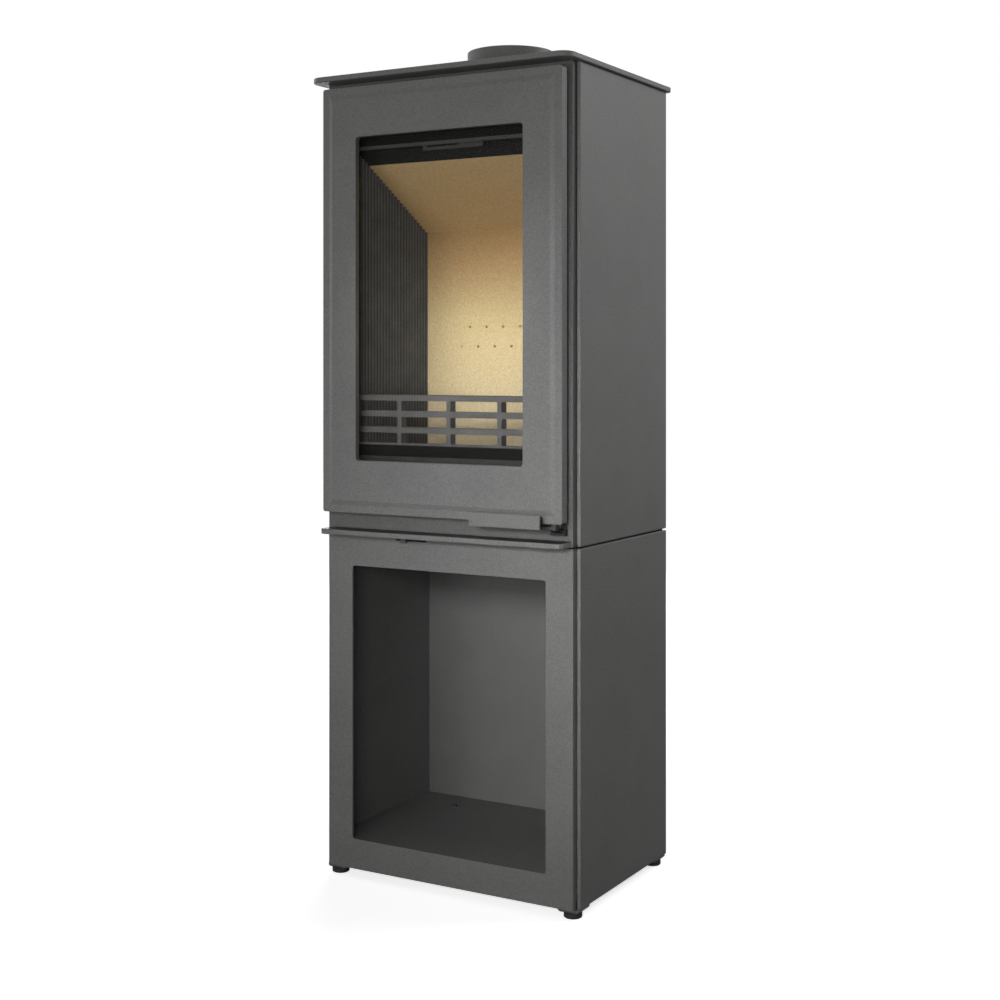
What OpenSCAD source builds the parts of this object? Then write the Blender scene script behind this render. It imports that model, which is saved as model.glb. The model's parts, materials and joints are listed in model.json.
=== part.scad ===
// Tall wood burning stove on a log-store base, in millimetres.
// +Z is up and the front faces -Y. The origin is on the floor, below the middle of the stove.

/* [Cabinet] */
// Width of the front plates of base and body
plate_w = 413; // [380:1:520]
// Depth from the front plates to the rear edges of the side panels
cabinet_d = 300; // [290:1:400]
// Thickness of the front plates
front_t = 4; // [3:0.5:6]
// Depth that the front plates fold back along their sides
front_return = 18; // [14:1:30]
// Thickness of the outer side panels
side_t = 6; // [3:0.5:8]
// How far the side panels stand behind the front plates
side_setback = 10; // [4:1:12]
// Gap between a folded front edge and the side panel over it
side_gap = 0.5; // [0.3:0.1:3]
// Thickness of floors and rear panels
sheet_t = 3; // [2:0.5:4]
// Depth of the hollow behind the rear panel of the log store
base_recess = 16; // [8:1:40]
// Depth of the hollow behind the rear panel of the body
body_recess = 4; // [2:1:20]

/* [Base] */
// Height of the base panels
base_h = 497.5; // [380:0.5:600]
// Gap between base and body panels
seam = 2.5; // [1.5:0.5:5]
// Width of the border beside the log opening
log_border_side = 43; // [30:1:60]
// Height of the border over the log opening
log_border_top = 45.5; // [30:0.5:60]
// Height of the border under the log opening
log_border_bottom = 44.7; // [30:0.1:60]
// Corner radius of the log opening
log_corner_r = 4; // [2:0.5:10]
// Drop from the edge of the log opening to the log floor
log_floor_drop = 1.7; // [1:0.1:6]
// Thickness of the joint plate between base and body
joint_plate_t = 4; // [3:0.5:8]

/* [Feet] */
// Diameter of a levelling foot
foot_d = 26; // [20:1:40]
// Height of the disc of a levelling foot
foot_h = 8; // [5:0.5:15]
// Diameter of the threaded stud of a foot
stud_d = 8; // [6:1:10]
// Length of the threaded stud above the disc
stud_l = 30; // [20:1:40]
// Thickness of the corner foot plates
foot_plate_t = 5.5; // [4:0.5:8]
// Width of the corner foot plates, across the stove
foot_plate_w = 35; // [32:1:50]
// Length of the corner foot plates, front to back
foot_plate_l = 41; // [36:1:60]
// Corner radius of the foot plates
foot_plate_r = 8; // [4:0.5:12]
// Chamfer round the underside of the foot plates
foot_chamfer = 4; // [1:0.5:5]
// Distance of a foot from the edge of the front plate, across the stove
foot_inset_x = 9.3; // [6:0.1:16]
// Distance of a foot from the front plane and from the rear edge
foot_inset_y = 18; // [16:0.5:30]

/* [Body] */
// Height of the body panels
body_h = 670; // [600:1:800]
// Thickness of the top plate
top_t = 8; // [5:0.5:12]
// How far the top plate stands over the side panels
top_over_side = 5.5; // [2:0.5:15]
// How far the top plate stands over the front plates
top_over_front = 35; // [25:1:45]
// How far the top plate stands over the rear edges
top_over_rear = 10; // [4:1:20]
// Radius of the front corners of the top plate
top_corner_r = 20; // [6:1:40]
// Radius of the rear corners of the top plate
top_rear_r = 8; // [4:1:20]
// Thickness of the ledge under the door
ledge_t = 8; // [5:0.5:12]
// How far the ledge stands out
ledge_reach = 30; // [20:1:45]
// Width of the ledge
ledge_w = 407; // [360:1:413]
// Radius of the front corners of the ledge
ledge_r = 10; // [4:1:16]
// Depth of the ledge behind the front plane
ledge_tongue = 14; // [8:1:16]

/* [Flue] */
// Bore of the flue collar
flue_bore = 126; // [110:1:135]
// Wall of the flue collar
flue_wall = 4; // [3:0.5:6]
// Height of the collar over the top plate
flue_rise = 54; // [30:1:80]
// Distance of the flue behind the front plane
flue_y = 191; // [180:1:205]
// Width of the collar's flange outside its wall
flange_w = 19; // [16:1:21]

/* [Door] */
// Width of the door
door_w = 402; // [370:1:410]
// Thickness of the door frame
door_t = 17; // [15:0.5:22]
// Gap behind the door, bridged by the rope seal
door_gap = 7; // [6:0.5:9]
// Gap between the ledge and the door
door_over_ledge = 25; // [24:1:40]
// Gap between the door and the top plate
door_under_top = 9; // [5:1:20]
// Radius of the door's outer corners
door_corner_r = 3.5; // [1:0.5:8]
// Width of the flat rim outside the raised field
rim_w = 11; // [6:1:16]
// Width of the bevel up to the raised field
bevel_w = 7; // [3:1:10]
// Height of the raised field
bevel_h = 2; // [1:0.5:3]
// Width of the frame beside the window
window_side = 60.3; // [50:0.1:70]
// Height of the frame over the window
window_top = 74.5; // [60:0.5:90]
// Height of the frame under the window
window_bottom = 77.5; // [60:0.5:90]
// Corner radius of the window
window_r = 5; // [2:0.5:10]
// Thickness of the glass
glass_t = 4; // [3:0.5:5]
// Width of glass held behind the frame
glass_lap = 10; // [8:0.5:14]
// Thickness of the glass gasket
gasket_t = 1.5; // [1:0.5:2.5]
// Depth of the recess for gasket and glass
glass_recess = 8; // [7.5:0.5:9]
// Diameter of the door's rope seal
rope_d = 10; // [8:1:12]
// Distance from the door's side edge to the middle of the rope
rope_inset_side = 33; // [28:1:36]
// Distance from the door's lower edge to the middle of the rope
rope_inset_bottom = 17.5; // [16:0.5:24]
// Distance from the door's upper edge to the middle of the rope
rope_inset_top = 46.5; // [20:0.5:50]
// Corner radius of the rope's middle line
rope_corner_r = 14; // [10:1:30]
// Distance from the middle of the rope to the firebox mouth
mouth_land = 12; // [8:1:14]

/* [Hinges and latch] */
// Distance from the door's left edge to the hinge axis
hinge_inset = 9.5; // [8:0.5:10]
// Distance of the hinge axis in front of the front plates
hinge_reach = 12; // [11.8:0.1:13]
// Diameter of the hinge pins
hinge_pin_d = 7; // [5:0.5:8]
// Thickness of the hinge brackets
hinge_bracket_t = 6; // [4:0.5:7]
// Length of a hinge pin inside the door
hinge_pin_l = 24; // [15:1:40]
// Distance from the door's right edge to the latch pivot
latch_inset = 15; // [14:0.5:18]
// Diameter of the latch pivot
latch_pin_d = 8; // [6:0.5:9]
// Length of the latch pivot inside the door
latch_pin_l = 28; // [15:1:40]
// Thickness of the latch lever
lever_t = 3.5; // [3:0.5:5]
// Radius of the latch hub
hub_r = 9; // [8:0.5:9.5]
// Length of the handle plate
handle_l = 113; // [90:1:140]
// Height of the handle plate
handle_h = 19.3; // [15:0.1:30]
// Thickness of the handle plate
handle_t = 3.5; // [3:0.5:5]
// Gap between the door and the handle plate
handle_gap = 8.5; // [7:0.5:14]
// Distance from the latch pivot to the near end of the handle plate
handle_offset = 12.3; // [11:0.1:20]

/* [Firebox] */
// Width between the fluted liners
fire_w = 307; // [280:1:307]
// Depth from the liners' front edges to the rear liner
fire_d = 185; // [170:1:190]
// Distance of the liners' front edges behind the front plane
fire_front = 8; // [6:0.5:12]
// Thickness of the fluted liners
liner_t = 14; // [12:1:16]
// Distance between the liner's flutes
flute_pitch = 8; // [6:0.5:12]
// Radius of a flute
flute_r = 3.2; // [2:0.1:3.5]
// Depth of a flute
flute_depth = 2.4; // [1:0.1:3]
// Thickness of the rear liner and the baffle
board_t = 25; // [20:1:30]
// Wall of the firebox shell
shell_t = 4; // [3:0.5:5]
// Clearance between liners and shell
liner_fit = 0.5; // [0.2:0.1:1]
// Height of the ash space
ash_h = 40; // [35:1:50]
// Thickness of the cast bottom plate
hearth_t = 12; // [10:1:16]
// Side of the square grate
grate_w = 150; // [120:2:160]
// Distance of the baffle's front edge behind the front plane
baffle_front = 31.5; // [25:0.5:45]
// Height of the baffle's underside over the hearth, at its front edge
baffle_rise = 434; // [420:1:440]
// Height of the baffle's underside over the hearth, at the rear liner
baffle_low = 345; // [320:1:360]
// Height of the lower row of secondary air holes over the hearth
air_row_z = 163.5; // [120:0.5:220]
// Distance between the two rows of secondary air holes
air_row_gap = 30.5; // [20:0.5:40]
// Distance between secondary air holes
air_pitch = 30; // [20:1:40]
// Diameter of a secondary air hole
air_hole_d = 4; // [3:0.5:6]
// Number of holes in the lower row
air_holes = 7; // [3:2:9]
// Thickness of the log guard
guard_t = 14; // [10:1:16]
// Height of a rail of the log guard
rail_h = 8.7; // [6:0.1:12]
// Height of an opening of the log guard
rail_slot = 15; // [10:0.5:20]
// Height of the solid foot of the log guard
guard_skirt = 19.5; // [12:0.5:30]
// Width of a post of the log guard
guard_post = 7; // [5:0.5:10]
// Depth of the rebates in the liners that hold the log guard
guard_seat = 6; // [3:0.5:8]
// Distance between the posts of the log guard
guard_pitch = 85; // [70:1:90]

/* [Air control] */
// Width of the notch for the air lever
notch_w = 52; // [44:1:60]
// Depth of the notch for the air lever
notch_h = 4; // [3.5:0.5:6]
// Middle of the notch, from the middle of the stove
notch_x = -59; // [-80:1:0]
// Width of the air lever
lever_w = 10; // [8:1:14]
// Middle of the air lever at rest, from the middle of the stove
lever_x = -70; // [-75:1:-50]
// Travel left free at each end of the notch
lever_stop = 1; // [0.5:0.5:3]

/* [Hidden] */
$fn = 64;
small_fn = 32;
clearance = 0.3;      // rigid pieces beside one another
running_fit = 0.05;   // radial clearance of a shaft in its bore
air_strip_t = 3;      // air slider and lever
strip_t = 2;          // folded inner boxes

half_w = plate_w / 2;
panel_in = half_w + side_gap;
panel_out = panel_in + side_t;
return_in = half_w - front_t;

cab_z0 = foot_h + foot_plate_t;
base_z1 = cab_z0 + base_h;
body_z0 = base_z1 + seam;
body_z1 = body_z0 + body_h;
top_z1 = body_z1 + top_t;
collar_z1 = top_z1 + flue_rise;

handle_reach = door_gap + door_t + handle_gap + handle_t;
overall_d = handle_reach + cabinet_d + top_over_rear;
front_y = handle_reach - overall_d / 2;

log_w = plate_w - 2 * log_border_side;
log_z0 = cab_z0 + log_border_bottom;
log_z1 = base_z1 - log_border_top;
log_floor_z = log_z0 - log_floor_drop;
base_back_y = cabinet_d - base_recess - sheet_t;
floor_screw_x = 124;
floor_screw_y = base_back_y - 54;
body_back_y = cabinet_d - body_recess - sheet_t;
joint_z0 = body_z0 - joint_plate_t;
joint_plate_setback = 2;
body_floor_z = body_z0 + sheet_t;

foot_x = half_w - foot_inset_x;
foot_rear_y = cabinet_d - foot_inset_y;
foot_plate_y = 3;     // foot plates stand behind the front plane
stud_nut_h = 6.5;
stud_nut_r = 7.5;
return_relief = 12;

ledge_z1 = body_z0 + ledge_t;
ledge_tongue_w = 2 * (return_in - 8);
door_z0 = ledge_z1 + door_over_ledge;
door_z1 = body_z1 - door_under_top;
door_h = door_z1 - door_z0;
door_back = -door_gap;
door_rim = door_back - door_t + bevel_h;
door_front = door_back - door_t;
window_w = door_w - 2 * window_side;
window_z0 = door_z0 + window_bottom;
window_z1 = door_z1 - window_top;
window_zc = (window_z0 + window_z1) / 2;
window_h = window_z1 - window_z0;
pane_w = window_w + 2 * glass_lap;
pane_h = window_h + 2 * glass_lap;
recess_y = door_back - glass_recess;
glass_y0 = recess_y + gasket_t;
glass_y1 = glass_y0 + glass_t;

rope_w = door_w - 2 * rope_inset_side;
rope_z0 = door_z0 + rope_inset_bottom;
rope_z1 = door_z1 - rope_inset_top;
rope_h = rope_z1 - rope_z0;
rope_zc = (rope_z0 + rope_z1) / 2;
rope_y = -clearance - rope_d / 2;
rope_slack = 0.7;     // free depth of the groove in front of the rope
rope_groove = rope_d + clearance + rope_slack - door_gap;
mouth_w = rope_w - 2 * mouth_land;
mouth_z0 = rope_z0 + mouth_land;
mouth_z1 = rope_z1 - mouth_land;
mouth_h = mouth_z1 - mouth_z0;
mouth_r = 3;

hinge_x = -door_w / 2 + hinge_inset;
hinge_eye_r = hinge_pin_d / 2 + 3;
hinge_room = 0.7;
pocket_h = hinge_bracket_t + 2 * hinge_room;
pocket_w = hinge_inset + hinge_eye_r + 4;
latch_x = door_w / 2 - latch_inset;
latch_y = door_back - 7;
cam_t = 3.3;
cam_z1 = door_z0 - clearance;
cam_z0 = cam_z1 - cam_t;
lever_z1 = cam_z0;
lever_z0 = lever_z1 - lever_t;
pivot_head_h = 4;
finger_a = -12;
finger_l = 10;
finger_r = 3;
hub_screw_r = 1.2;
plate_x1 = latch_x - handle_offset;
plate_x0 = plate_x1 - handle_l;
plate_y1 = door_front - handle_gap;
plate_y0 = plate_y1 - handle_t;
plate_z0 = lever_z0;
plate_z1 = plate_z0 + handle_h;
tab_l = 40;
tab_t = 3;
keeper_x0 = latch_x - 11;
keeper_x1 = latch_x + 12;
keeper_d = 8;
keeper_t = 3;
keeper_bar_h = 3.5;
keeper_z1 = lever_z0 - 0.7;
keeper_z0 = keeper_z1 - 9;
roller_r = 1.5;
roller_y = -3;
hinge_low_z = door_z0 + hinge_room;
hinge_high_z = door_z1 - hinge_room - hinge_bracket_t;
clip_l = 26;
clip_out = 10;
clip_in = 7;
clip_t = 2;
clip_screw_r = 2;
clip_screw_out = 5.5;

half_fire = fire_w / 2;
shell_in = half_fire + liner_t + liner_fit;
shell_out = shell_in + shell_t;
rear_liner_y = fire_front + fire_d;
shell_y1 = rear_liner_y + board_t + liner_fit;
shell_z0 = mouth_z0 - 2;
ash_z0 = shell_z0 + shell_t;
hearth_z0 = ash_z0 + ash_h;
hearth_z = hearth_z0 + hearth_t;
baffle_front_z = hearth_z + baffle_rise;
baffle_back_z = hearth_z + baffle_low;
baffle_slope = (baffle_front_z - baffle_back_z) / (rear_liner_y - baffle_front);
function baffle_z(y) = baffle_front_z - (y - baffle_front) * baffle_slope;
board_rise = board_t * sqrt(1 + baffle_slope * baffle_slope);
smoke_y1 = flue_y + flue_bore / 2 + flange_w + 5;
smoke_z0 = baffle_z(shell_y1) + board_rise - 5;
shell_z1 = body_z1 - 29.5;
flange_t = 6;
flue_od = flue_bore + 2 * flue_wall;
flange_r = flue_od / 2 + flange_w;
bolt_circle_r = flue_od / 2 + 10;
smoke_plate_z = shell_z1 - 36;
rear_outlet_z = (smoke_z0 + shell_t + smoke_plate_z) / 2;
rear_outlet_r = min(50, (smoke_plate_z - smoke_z0 - shell_t) / 2 - 12);
rail_w = 12;
rail_t = 6;
nose_t = 2.5;         // bar that covers the baffle's front edge
smoke_plate_y0 = flue_y - 95;
air_duct_r = 20;
air_duct_y = shell_y1 - 50;
rear_cover_r = rear_outlet_r + 30;
vent_w = 60;
vent_h = 8;
flutes = floor((fire_d - 4) / flute_pitch);
rail_pitch = rail_h + rail_slot;
guard_h = guard_skirt + 3 * rail_pitch;
guard_w = fire_w + 2 * guard_seat - 2 * clearance;
grate_y = fire_front + guard_t + (fire_d - guard_t) / 2;
guard_round = 2;
grate_t = 7;
grate_bars = 8;
pan_w = 280;
pan_y0 = 10;
pan_y1 = 205;
deflector_z = window_z1 - 11.2;
deflector_y0 = 3;
deflector_y1 = 22;
deflector_t = 3;
deflector_lip = 5;
deflector_tab_w = 102;
deflector_tab_h = 10.2;
tab_slot_x = -18;
tab_slot_drop = 4.2;
tab_slot_w = 54;
tab_slot_h = 2.4;

lever_tip_y = -6;
slider_y0 = 36;
slider_d = 74;
slider_w = 80;
slider_z0 = body_floor_z + clearance;
notch_x0 = notch_x - notch_w / 2;
notch_x1 = notch_x + notch_w / 2;
lever_z = base_z1 - notch_h + 0.8;
inlet_w = 50;
inlet_d = 36;
inlet_y0 = slider_y0 + 24;
air_box_w = 300;
air_box_y0 = 54;
duct_w = 220;
duct_d = 22;
duct_z1 = hearth_z + 230;
bolt_r = 4;
join_x = half_w - 21.5;
join_front_y = 45;
join_rear_y = base_back_y - 15;

// ---- helpers: y counts back from the front plane, x from the middle, z from the floor ----

module at_front() translate([0, front_y, 0]) children();

module block(x0, x1, y0, y1, z0, z1)
    translate([x0, y0, z0]) cube([x1 - x0, y1 - y0, z1 - z0]);

module wide_block(w, y0, y1, z0, z1) block(-w / 2, w / 2, y0, y1, z0, z1);

// A 2D outline in x and z, given thickness from y0 back to y1
module facing_front(y0, y1)
    translate([0, y1, 0]) rotate([90, 0, 0]) linear_extrude(y1 - y0) children();

// A 2D outline in y and z, given a width across the stove from x0 to x1
module across(x0, x1)
    translate([x0, 0, 0]) rotate([90, 0, 90]) linear_extrude(x1 - x0) children();

module round_rect(w, h, r) {
    square([w - 2 * r, h], center = true);
    square([w, h - 2 * r], center = true);
    for (sx = [-1, 1], sy = [-1, 1])
        translate([sx * (w / 2 - r), sy * (h / 2 - r)]) circle(r);
}

// Outline of a flat plate from y0 to y1 with round front corners and round rear corners
module cornered_plate(w, y0, y1, front_r, rear_r) {
    translate([-w / 2 + front_r, y0]) square([w - 2 * front_r, y1 - y0]);
    translate([-w / 2, y0 + front_r]) square([w, y1 - y0 - front_r - rear_r]);
    translate([-w / 2 + rear_r, y0 + front_r]) square([w - 2 * rear_r, y1 - y0 - front_r]);
    for (s = [-1, 1]) {
        translate([s * (w / 2 - front_r), y0 + front_r]) circle(front_r);
        translate([s * (w / 2 - rear_r), y1 - rear_r]) circle(rear_r);
    }
}

// A pin or hole along x, y or z
module rod_z(r, x, y, z0, z1) translate([x, y, z0]) cylinder(r = r, h = z1 - z0, $fn = small_fn);

module rod_y(r, x, z, y0, y1)
    translate([x, y1, z]) rotate([90, 0, 0]) cylinder(r = r, h = y1 - y0, $fn = small_fn);

module hex_z(r, x, y, z0, z1) translate([x, y, z0]) cylinder(r = r, h = z1 - z0, $fn = 6);

// Screw head with a domed rim and a hexagonal socket, its face towards +Z
module socket_head(r, h) difference() {
    rotate_extrude($fn = small_fn) polygon([[0, 0], [r, 0], [r, h * 0.45], [r * 0.72, h], [0, h]]);
    translate([0, 0, h * 0.4]) cylinder(r = r * 0.42, h = h, $fn = 6);
}

// Front plate of base or body: a face with folded sides; children cut the face
module folded_front(z0, z1, relief = 0) difference() {
    union() {
        wide_block(plate_w, 0, front_t, z0, z1);
        for (s = [-1, 1])
            block(min(s * return_in, s * half_w), max(s * return_in, s * half_w),
                  0, front_return, z0, z1);
    }
    children();
    if (relief > 0)
        wide_block(plate_w + 2, side_setback, front_return + 1, z0 - 1, z0 + relief);
}

// Floor or ceiling plate between the side panels, cut clear of the folded front
module inner_plate(y1, z0, z1, y0 = front_t) {
    tuck_y = front_return + clearance;
    if (y0 < tuck_y) wide_block(2 * (return_in - clearance), y0, tuck_y, z0, z1);
    wide_block(2 * panel_in, max(y0, tuck_y), y1, z0, z1);
}

module side_panel(s, z0, z1)
    block(min(s * panel_in, s * panel_out), max(s * panel_in, s * panel_out),
          side_setback, cabinet_d, z0, z1);

// ---- log-store base ----

module base_front() color("#5c5c5c") at_front()
    folded_front(cab_z0, base_z1, return_relief) {
        translate([0, 0, (log_z0 + log_z1) / 2])
            facing_front(-1, front_t + 1) round_rect(log_w, log_z1 - log_z0, log_corner_r);
        block(notch_x0, notch_x1, -1, front_t + 1, base_z1 - notch_h, base_z1 + 1);
    }

module base_left_side() color("#4c4c4c") at_front() side_panel(-1, cab_z0, base_z1);
module base_right_side() color("#4c4c4c") at_front() side_panel(1, cab_z0, base_z1);

// Rear panel of the log store, its lower corners cut clear of the feet
module base_back() color("#505050") at_front() difference() {
    wide_block(2 * panel_in, base_back_y, base_back_y + sheet_t, cab_z0, joint_z0);
    corner_x = foot_x - stud_nut_r - 2;
    for (s = [-1, 1])
        block(s > 0 ? corner_x : -panel_in - 1, s > 0 ? panel_in + 1 : -corner_x,
              base_back_y - 1, base_back_y + sheet_t + 1, cab_z0 - 1, foot_h + stud_l + 2);
}

module log_floor() color("#383838") at_front() difference() {
    inner_plate(base_back_y, log_floor_z - sheet_t, log_floor_z);
    for (s = [-1, 1])
        rod_z(2.5 + running_fit, s * floor_screw_x, floor_screw_y, log_floor_z - 5, log_floor_z + 1);
}

module floor_screws() color("#303030") at_front()
    for (s = [-1, 1]) {
        translate([s * floor_screw_x, floor_screw_y, log_floor_z]) socket_head(4.5, 2.6);
        rod_z(2.5, s * floor_screw_x, floor_screw_y, log_floor_z - 12, log_floor_z + 0.5);
    }

module joining_holes(z0, z1)
    for (s = [-1, 1], y = [join_front_y, join_rear_y])
        rod_z(bolt_r + running_fit, s * join_x, y, z0 - 1, z1 + 1);

module air_inlet(z0, z1)
    block(lever_x - inlet_w / 2, lever_x + inlet_w / 2, inlet_y0, inlet_y0 + inlet_d, z0 - 1, z1 + 1);

module joint_plate() color("#2c2c2c") at_front() difference() {
    inner_plate(cabinet_d - joint_plate_setback, joint_z0, body_z0);
    joining_holes(joint_z0, body_z0);
    air_inlet(joint_z0, body_z0);
    block(notch_x0, notch_x1, 0, slider_y0 + 6, joint_z0 - 1, body_z0 + 1);
}

module each_foot()
    for (s = [-1, 1], y = [foot_inset_y, foot_rear_y]) translate([s * foot_x, y, 0]) children();

// Corner plate under the panels, chamfered round its underside
module foot_plate() intersection() {
    linear_extrude(foot_plate_t) round_rect(foot_plate_w, foot_plate_l, foot_plate_r);
    across(-foot_plate_w / 2, foot_plate_w / 2) chamfered_end(foot_plate_l);
    rotate([0, 0, 90]) across(-foot_plate_l / 2, foot_plate_l / 2) chamfered_end(foot_plate_w);
}

module chamfered_end(l) polygon([
    [foot_chamfer - l / 2, 0], [l / 2 - foot_chamfer, 0], [l / 2, foot_chamfer],
    [l / 2, foot_plate_t], [-l / 2, foot_plate_t], [-l / 2, foot_chamfer]]);

module foot_plates() color("#484848") at_front() difference() {
    for (s = [-1, 1], y = [foot_plate_y + foot_plate_l / 2, cabinet_d - foot_plate_l / 2])
        translate([s * (panel_out - foot_plate_w / 2), y, foot_h]) foot_plate();
    each_foot() rod_z(stud_d / 2 + running_fit, 0, 0, foot_h - 1, cab_z0 + 1);
}

module foot_nuts() color("#7d7d7d") at_front() each_foot() difference() {
    hex_z(stud_nut_r, 0, 0, cab_z0, cab_z0 + stud_nut_h);
    rod_z(stud_d / 2 + running_fit, 0, 0, cab_z0 - 1, cab_z0 + stud_nut_h + 1);
}

module foot(s, y) color("#3a3a3a") at_front() translate([s * foot_x, y, 0]) {
    rotate_extrude($fn = 48) polygon([
        [0, 0], [foot_d / 2 - 1.2, 0], [foot_d / 2, 1.2], [foot_d / 2, foot_h - 2],
        [foot_d / 2 - 2, foot_h], [0, foot_h]]);
    rod_z(stud_d / 2, 0, 0, foot_h - 0.5, foot_h + stud_l);
}

module foot_front_left() foot(-1, foot_inset_y);
module foot_front_right() foot(1, foot_inset_y);
module foot_rear_left() foot(-1, foot_rear_y);
module foot_rear_right() foot(1, foot_rear_y);

module joining_bolts() color("#6a6a6a") at_front()
    for (s = [-1, 1], y = [join_front_y, join_rear_y]) {
        hex_z(7.2, s * join_x, y, body_floor_z, body_floor_z + 5.3);
        rod_z(bolt_r, s * join_x, y, joint_z0 - 9, body_floor_z + 0.5);
    }

module joining_nuts() color("#6a6a6a") at_front()
    for (s = [-1, 1], y = [join_front_y, join_rear_y]) difference() {
        hex_z(7.2, s * join_x, y, joint_z0 - 6.5, joint_z0);
        rod_z(bolt_r + running_fit, s * join_x, y, joint_z0 - 8, joint_z0 + 1);
    }

// ---- body ----

module body_front() color("#5c5c5c") at_front()
    folded_front(body_z0, body_z1) {
        translate([0, 0, (mouth_z0 + mouth_z1) / 2])
            facing_front(-1, front_t + 1) round_rect(mouth_w, mouth_h, mouth_r);
        wide_block(ledge_tongue_w + 2 * clearance, -1, front_t + 1, body_z0 - 1, ledge_z1);
    }

module body_left_side() color("#626262") at_front() side_panel(-1, body_z0, body_z1);
module body_right_side() color("#626262") at_front() side_panel(1, body_z0, body_z1);

module body_floor() color("#2c2c2c") at_front() difference() {
    inner_plate(body_back_y, body_z0, body_floor_z, ledge_tongue + clearance);
    joining_holes(body_z0, body_floor_z);
    air_inlet(body_z0, body_floor_z);
    block(notch_x0, notch_x1, 0, slider_y0 + 6, body_z0 - 1, body_floor_z + 1);
}

// Rear heat shield with convection slots and the opening of the rear flue outlet
module body_back() color("#505050") at_front() difference() {
    wide_block(2 * panel_in, body_back_y, body_back_y + sheet_t, body_z0, body_z1);
    rod_y(rear_outlet_r + 10, 0, rear_outlet_z, body_back_y - 1, body_back_y + sheet_t + 1);
    for (col = [-2 : 2], row = [0 : 3], z = [body_z0 + 45, body_z1 - 115])
        if (z < rear_outlet_z - 200 || abs(col) == 2)
            translate([col * (vent_w + 14), 0, z + row * 18])
                facing_front(body_back_y - 1, body_back_y + sheet_t + 1)
                    round_rect(vent_w, vent_h, vent_h / 2 - 0.01);
    cover_screw_holes();
}

module each_cover_screw()
    for (a = [45 : 90 : 315])
        translate([(rear_cover_r - 7) * cos(a), 0, rear_outlet_z + (rear_cover_r - 7) * sin(a)]) children();

module cover_screw_holes()
    each_cover_screw() rod_y(2 + running_fit, 0, 0, body_back_y - 1, body_back_y + sheet_t + 3);

module rear_cover() color("#505050") at_front() difference() {
    rod_y(rear_cover_r, 0, rear_outlet_z, body_back_y + sheet_t, body_back_y + sheet_t + 2);
    cover_screw_holes();
}

module rear_cover_screws() color("#303030") at_front() each_cover_screw() {
    rod_y(2, 0, 0, body_back_y - 3, body_back_y + sheet_t + 2.5);
    translate([0, body_back_y + sheet_t + 2, 0]) rotate([-90, 0, 0]) socket_head(3.8, 2);
}

module ledge() color("#6c6c6c") at_front() {
    translate([0, 0, body_z0]) linear_extrude(ledge_t)
        cornered_plate(ledge_w, -ledge_reach, 0, ledge_r, 1);
    wide_block(ledge_tongue_w, -2, ledge_tongue, body_z0, ledge_z1);
}

module top_plate() color("#565656") at_front() difference() {
    translate([0, 0, body_z1]) linear_extrude(top_t)
        cornered_plate(2 * (panel_out + top_over_side), -top_over_front, cabinet_d + top_over_rear,
                       top_corner_r, top_rear_r);
    rod_z(flue_od / 2 + 1, 0, flue_y, body_z1 - 1, top_z1 + 1);
}

module each_collar_bolt()
    for (a = [45 : 90 : 315])
        translate([bolt_circle_r * cos(a), flue_y + bolt_circle_r * sin(a), 0]) children();

// Cast collar: flange on the smoke chamber, tapered root and a plain socket for the pipe
module flue_collar() color("#555555") at_front() difference() {
    translate([0, flue_y, shell_z1]) rotate_extrude($fn = 128) polygon([
        [flue_bore / 2, 0], [flange_r, 0], [flange_r, flange_t - 1], [flange_r - 1, flange_t],
        [flue_od / 2 + 3, flange_t], [flue_od / 2, flange_t + 6],
        [flue_od / 2, collar_z1 - shell_z1 - 1], [flue_od / 2 - 1, collar_z1 - shell_z1],
        [flue_bore / 2, collar_z1 - shell_z1]]);
    each_collar_bolt() rod_z(3 + running_fit, 0, 0, shell_z1 - 1, shell_z1 + flange_t + 1);
}

module collar_bolts() color("#6a6a6a") at_front() each_collar_bolt() {
    hex_z(5.8, 0, 0, shell_z1 + flange_t, shell_z1 + flange_t + 4);
    rod_z(3, 0, 0, shell_z1 - shell_t - 4, shell_z1 + flange_t + 0.5);
}

// ---- firebox ----

module shell_rail(y0, y1, z)
    for (s = [-1, 1])
        block(min(s * (shell_in - rail_w), s * shell_in), max(s * (shell_in - rail_w), s * shell_in),
              y0, y1, z - rail_t, z);

// Welded shell of the firebox, open to the front and to the smoke chamber over it
module firebox_shell() color("#333333") at_front() difference() {
    union() {
        difference() {
            wide_block(2 * shell_out, front_t, shell_y1 + shell_t, shell_z0, smoke_z0);
            wide_block(2 * shell_in, 0, shell_y1, ash_z0, smoke_z0 + 1);
        }
        shell_rail(fire_front, shell_y1, hearth_z0);
    }
    each_air_hole() rod_y(air_hole_d / 2, 0, 0, shell_y1 - 1, shell_y1 + shell_t + 1);
    rod_z(air_duct_r, 0, air_duct_y, shell_z0 - 1, ash_z0 + 1);
}

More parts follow.
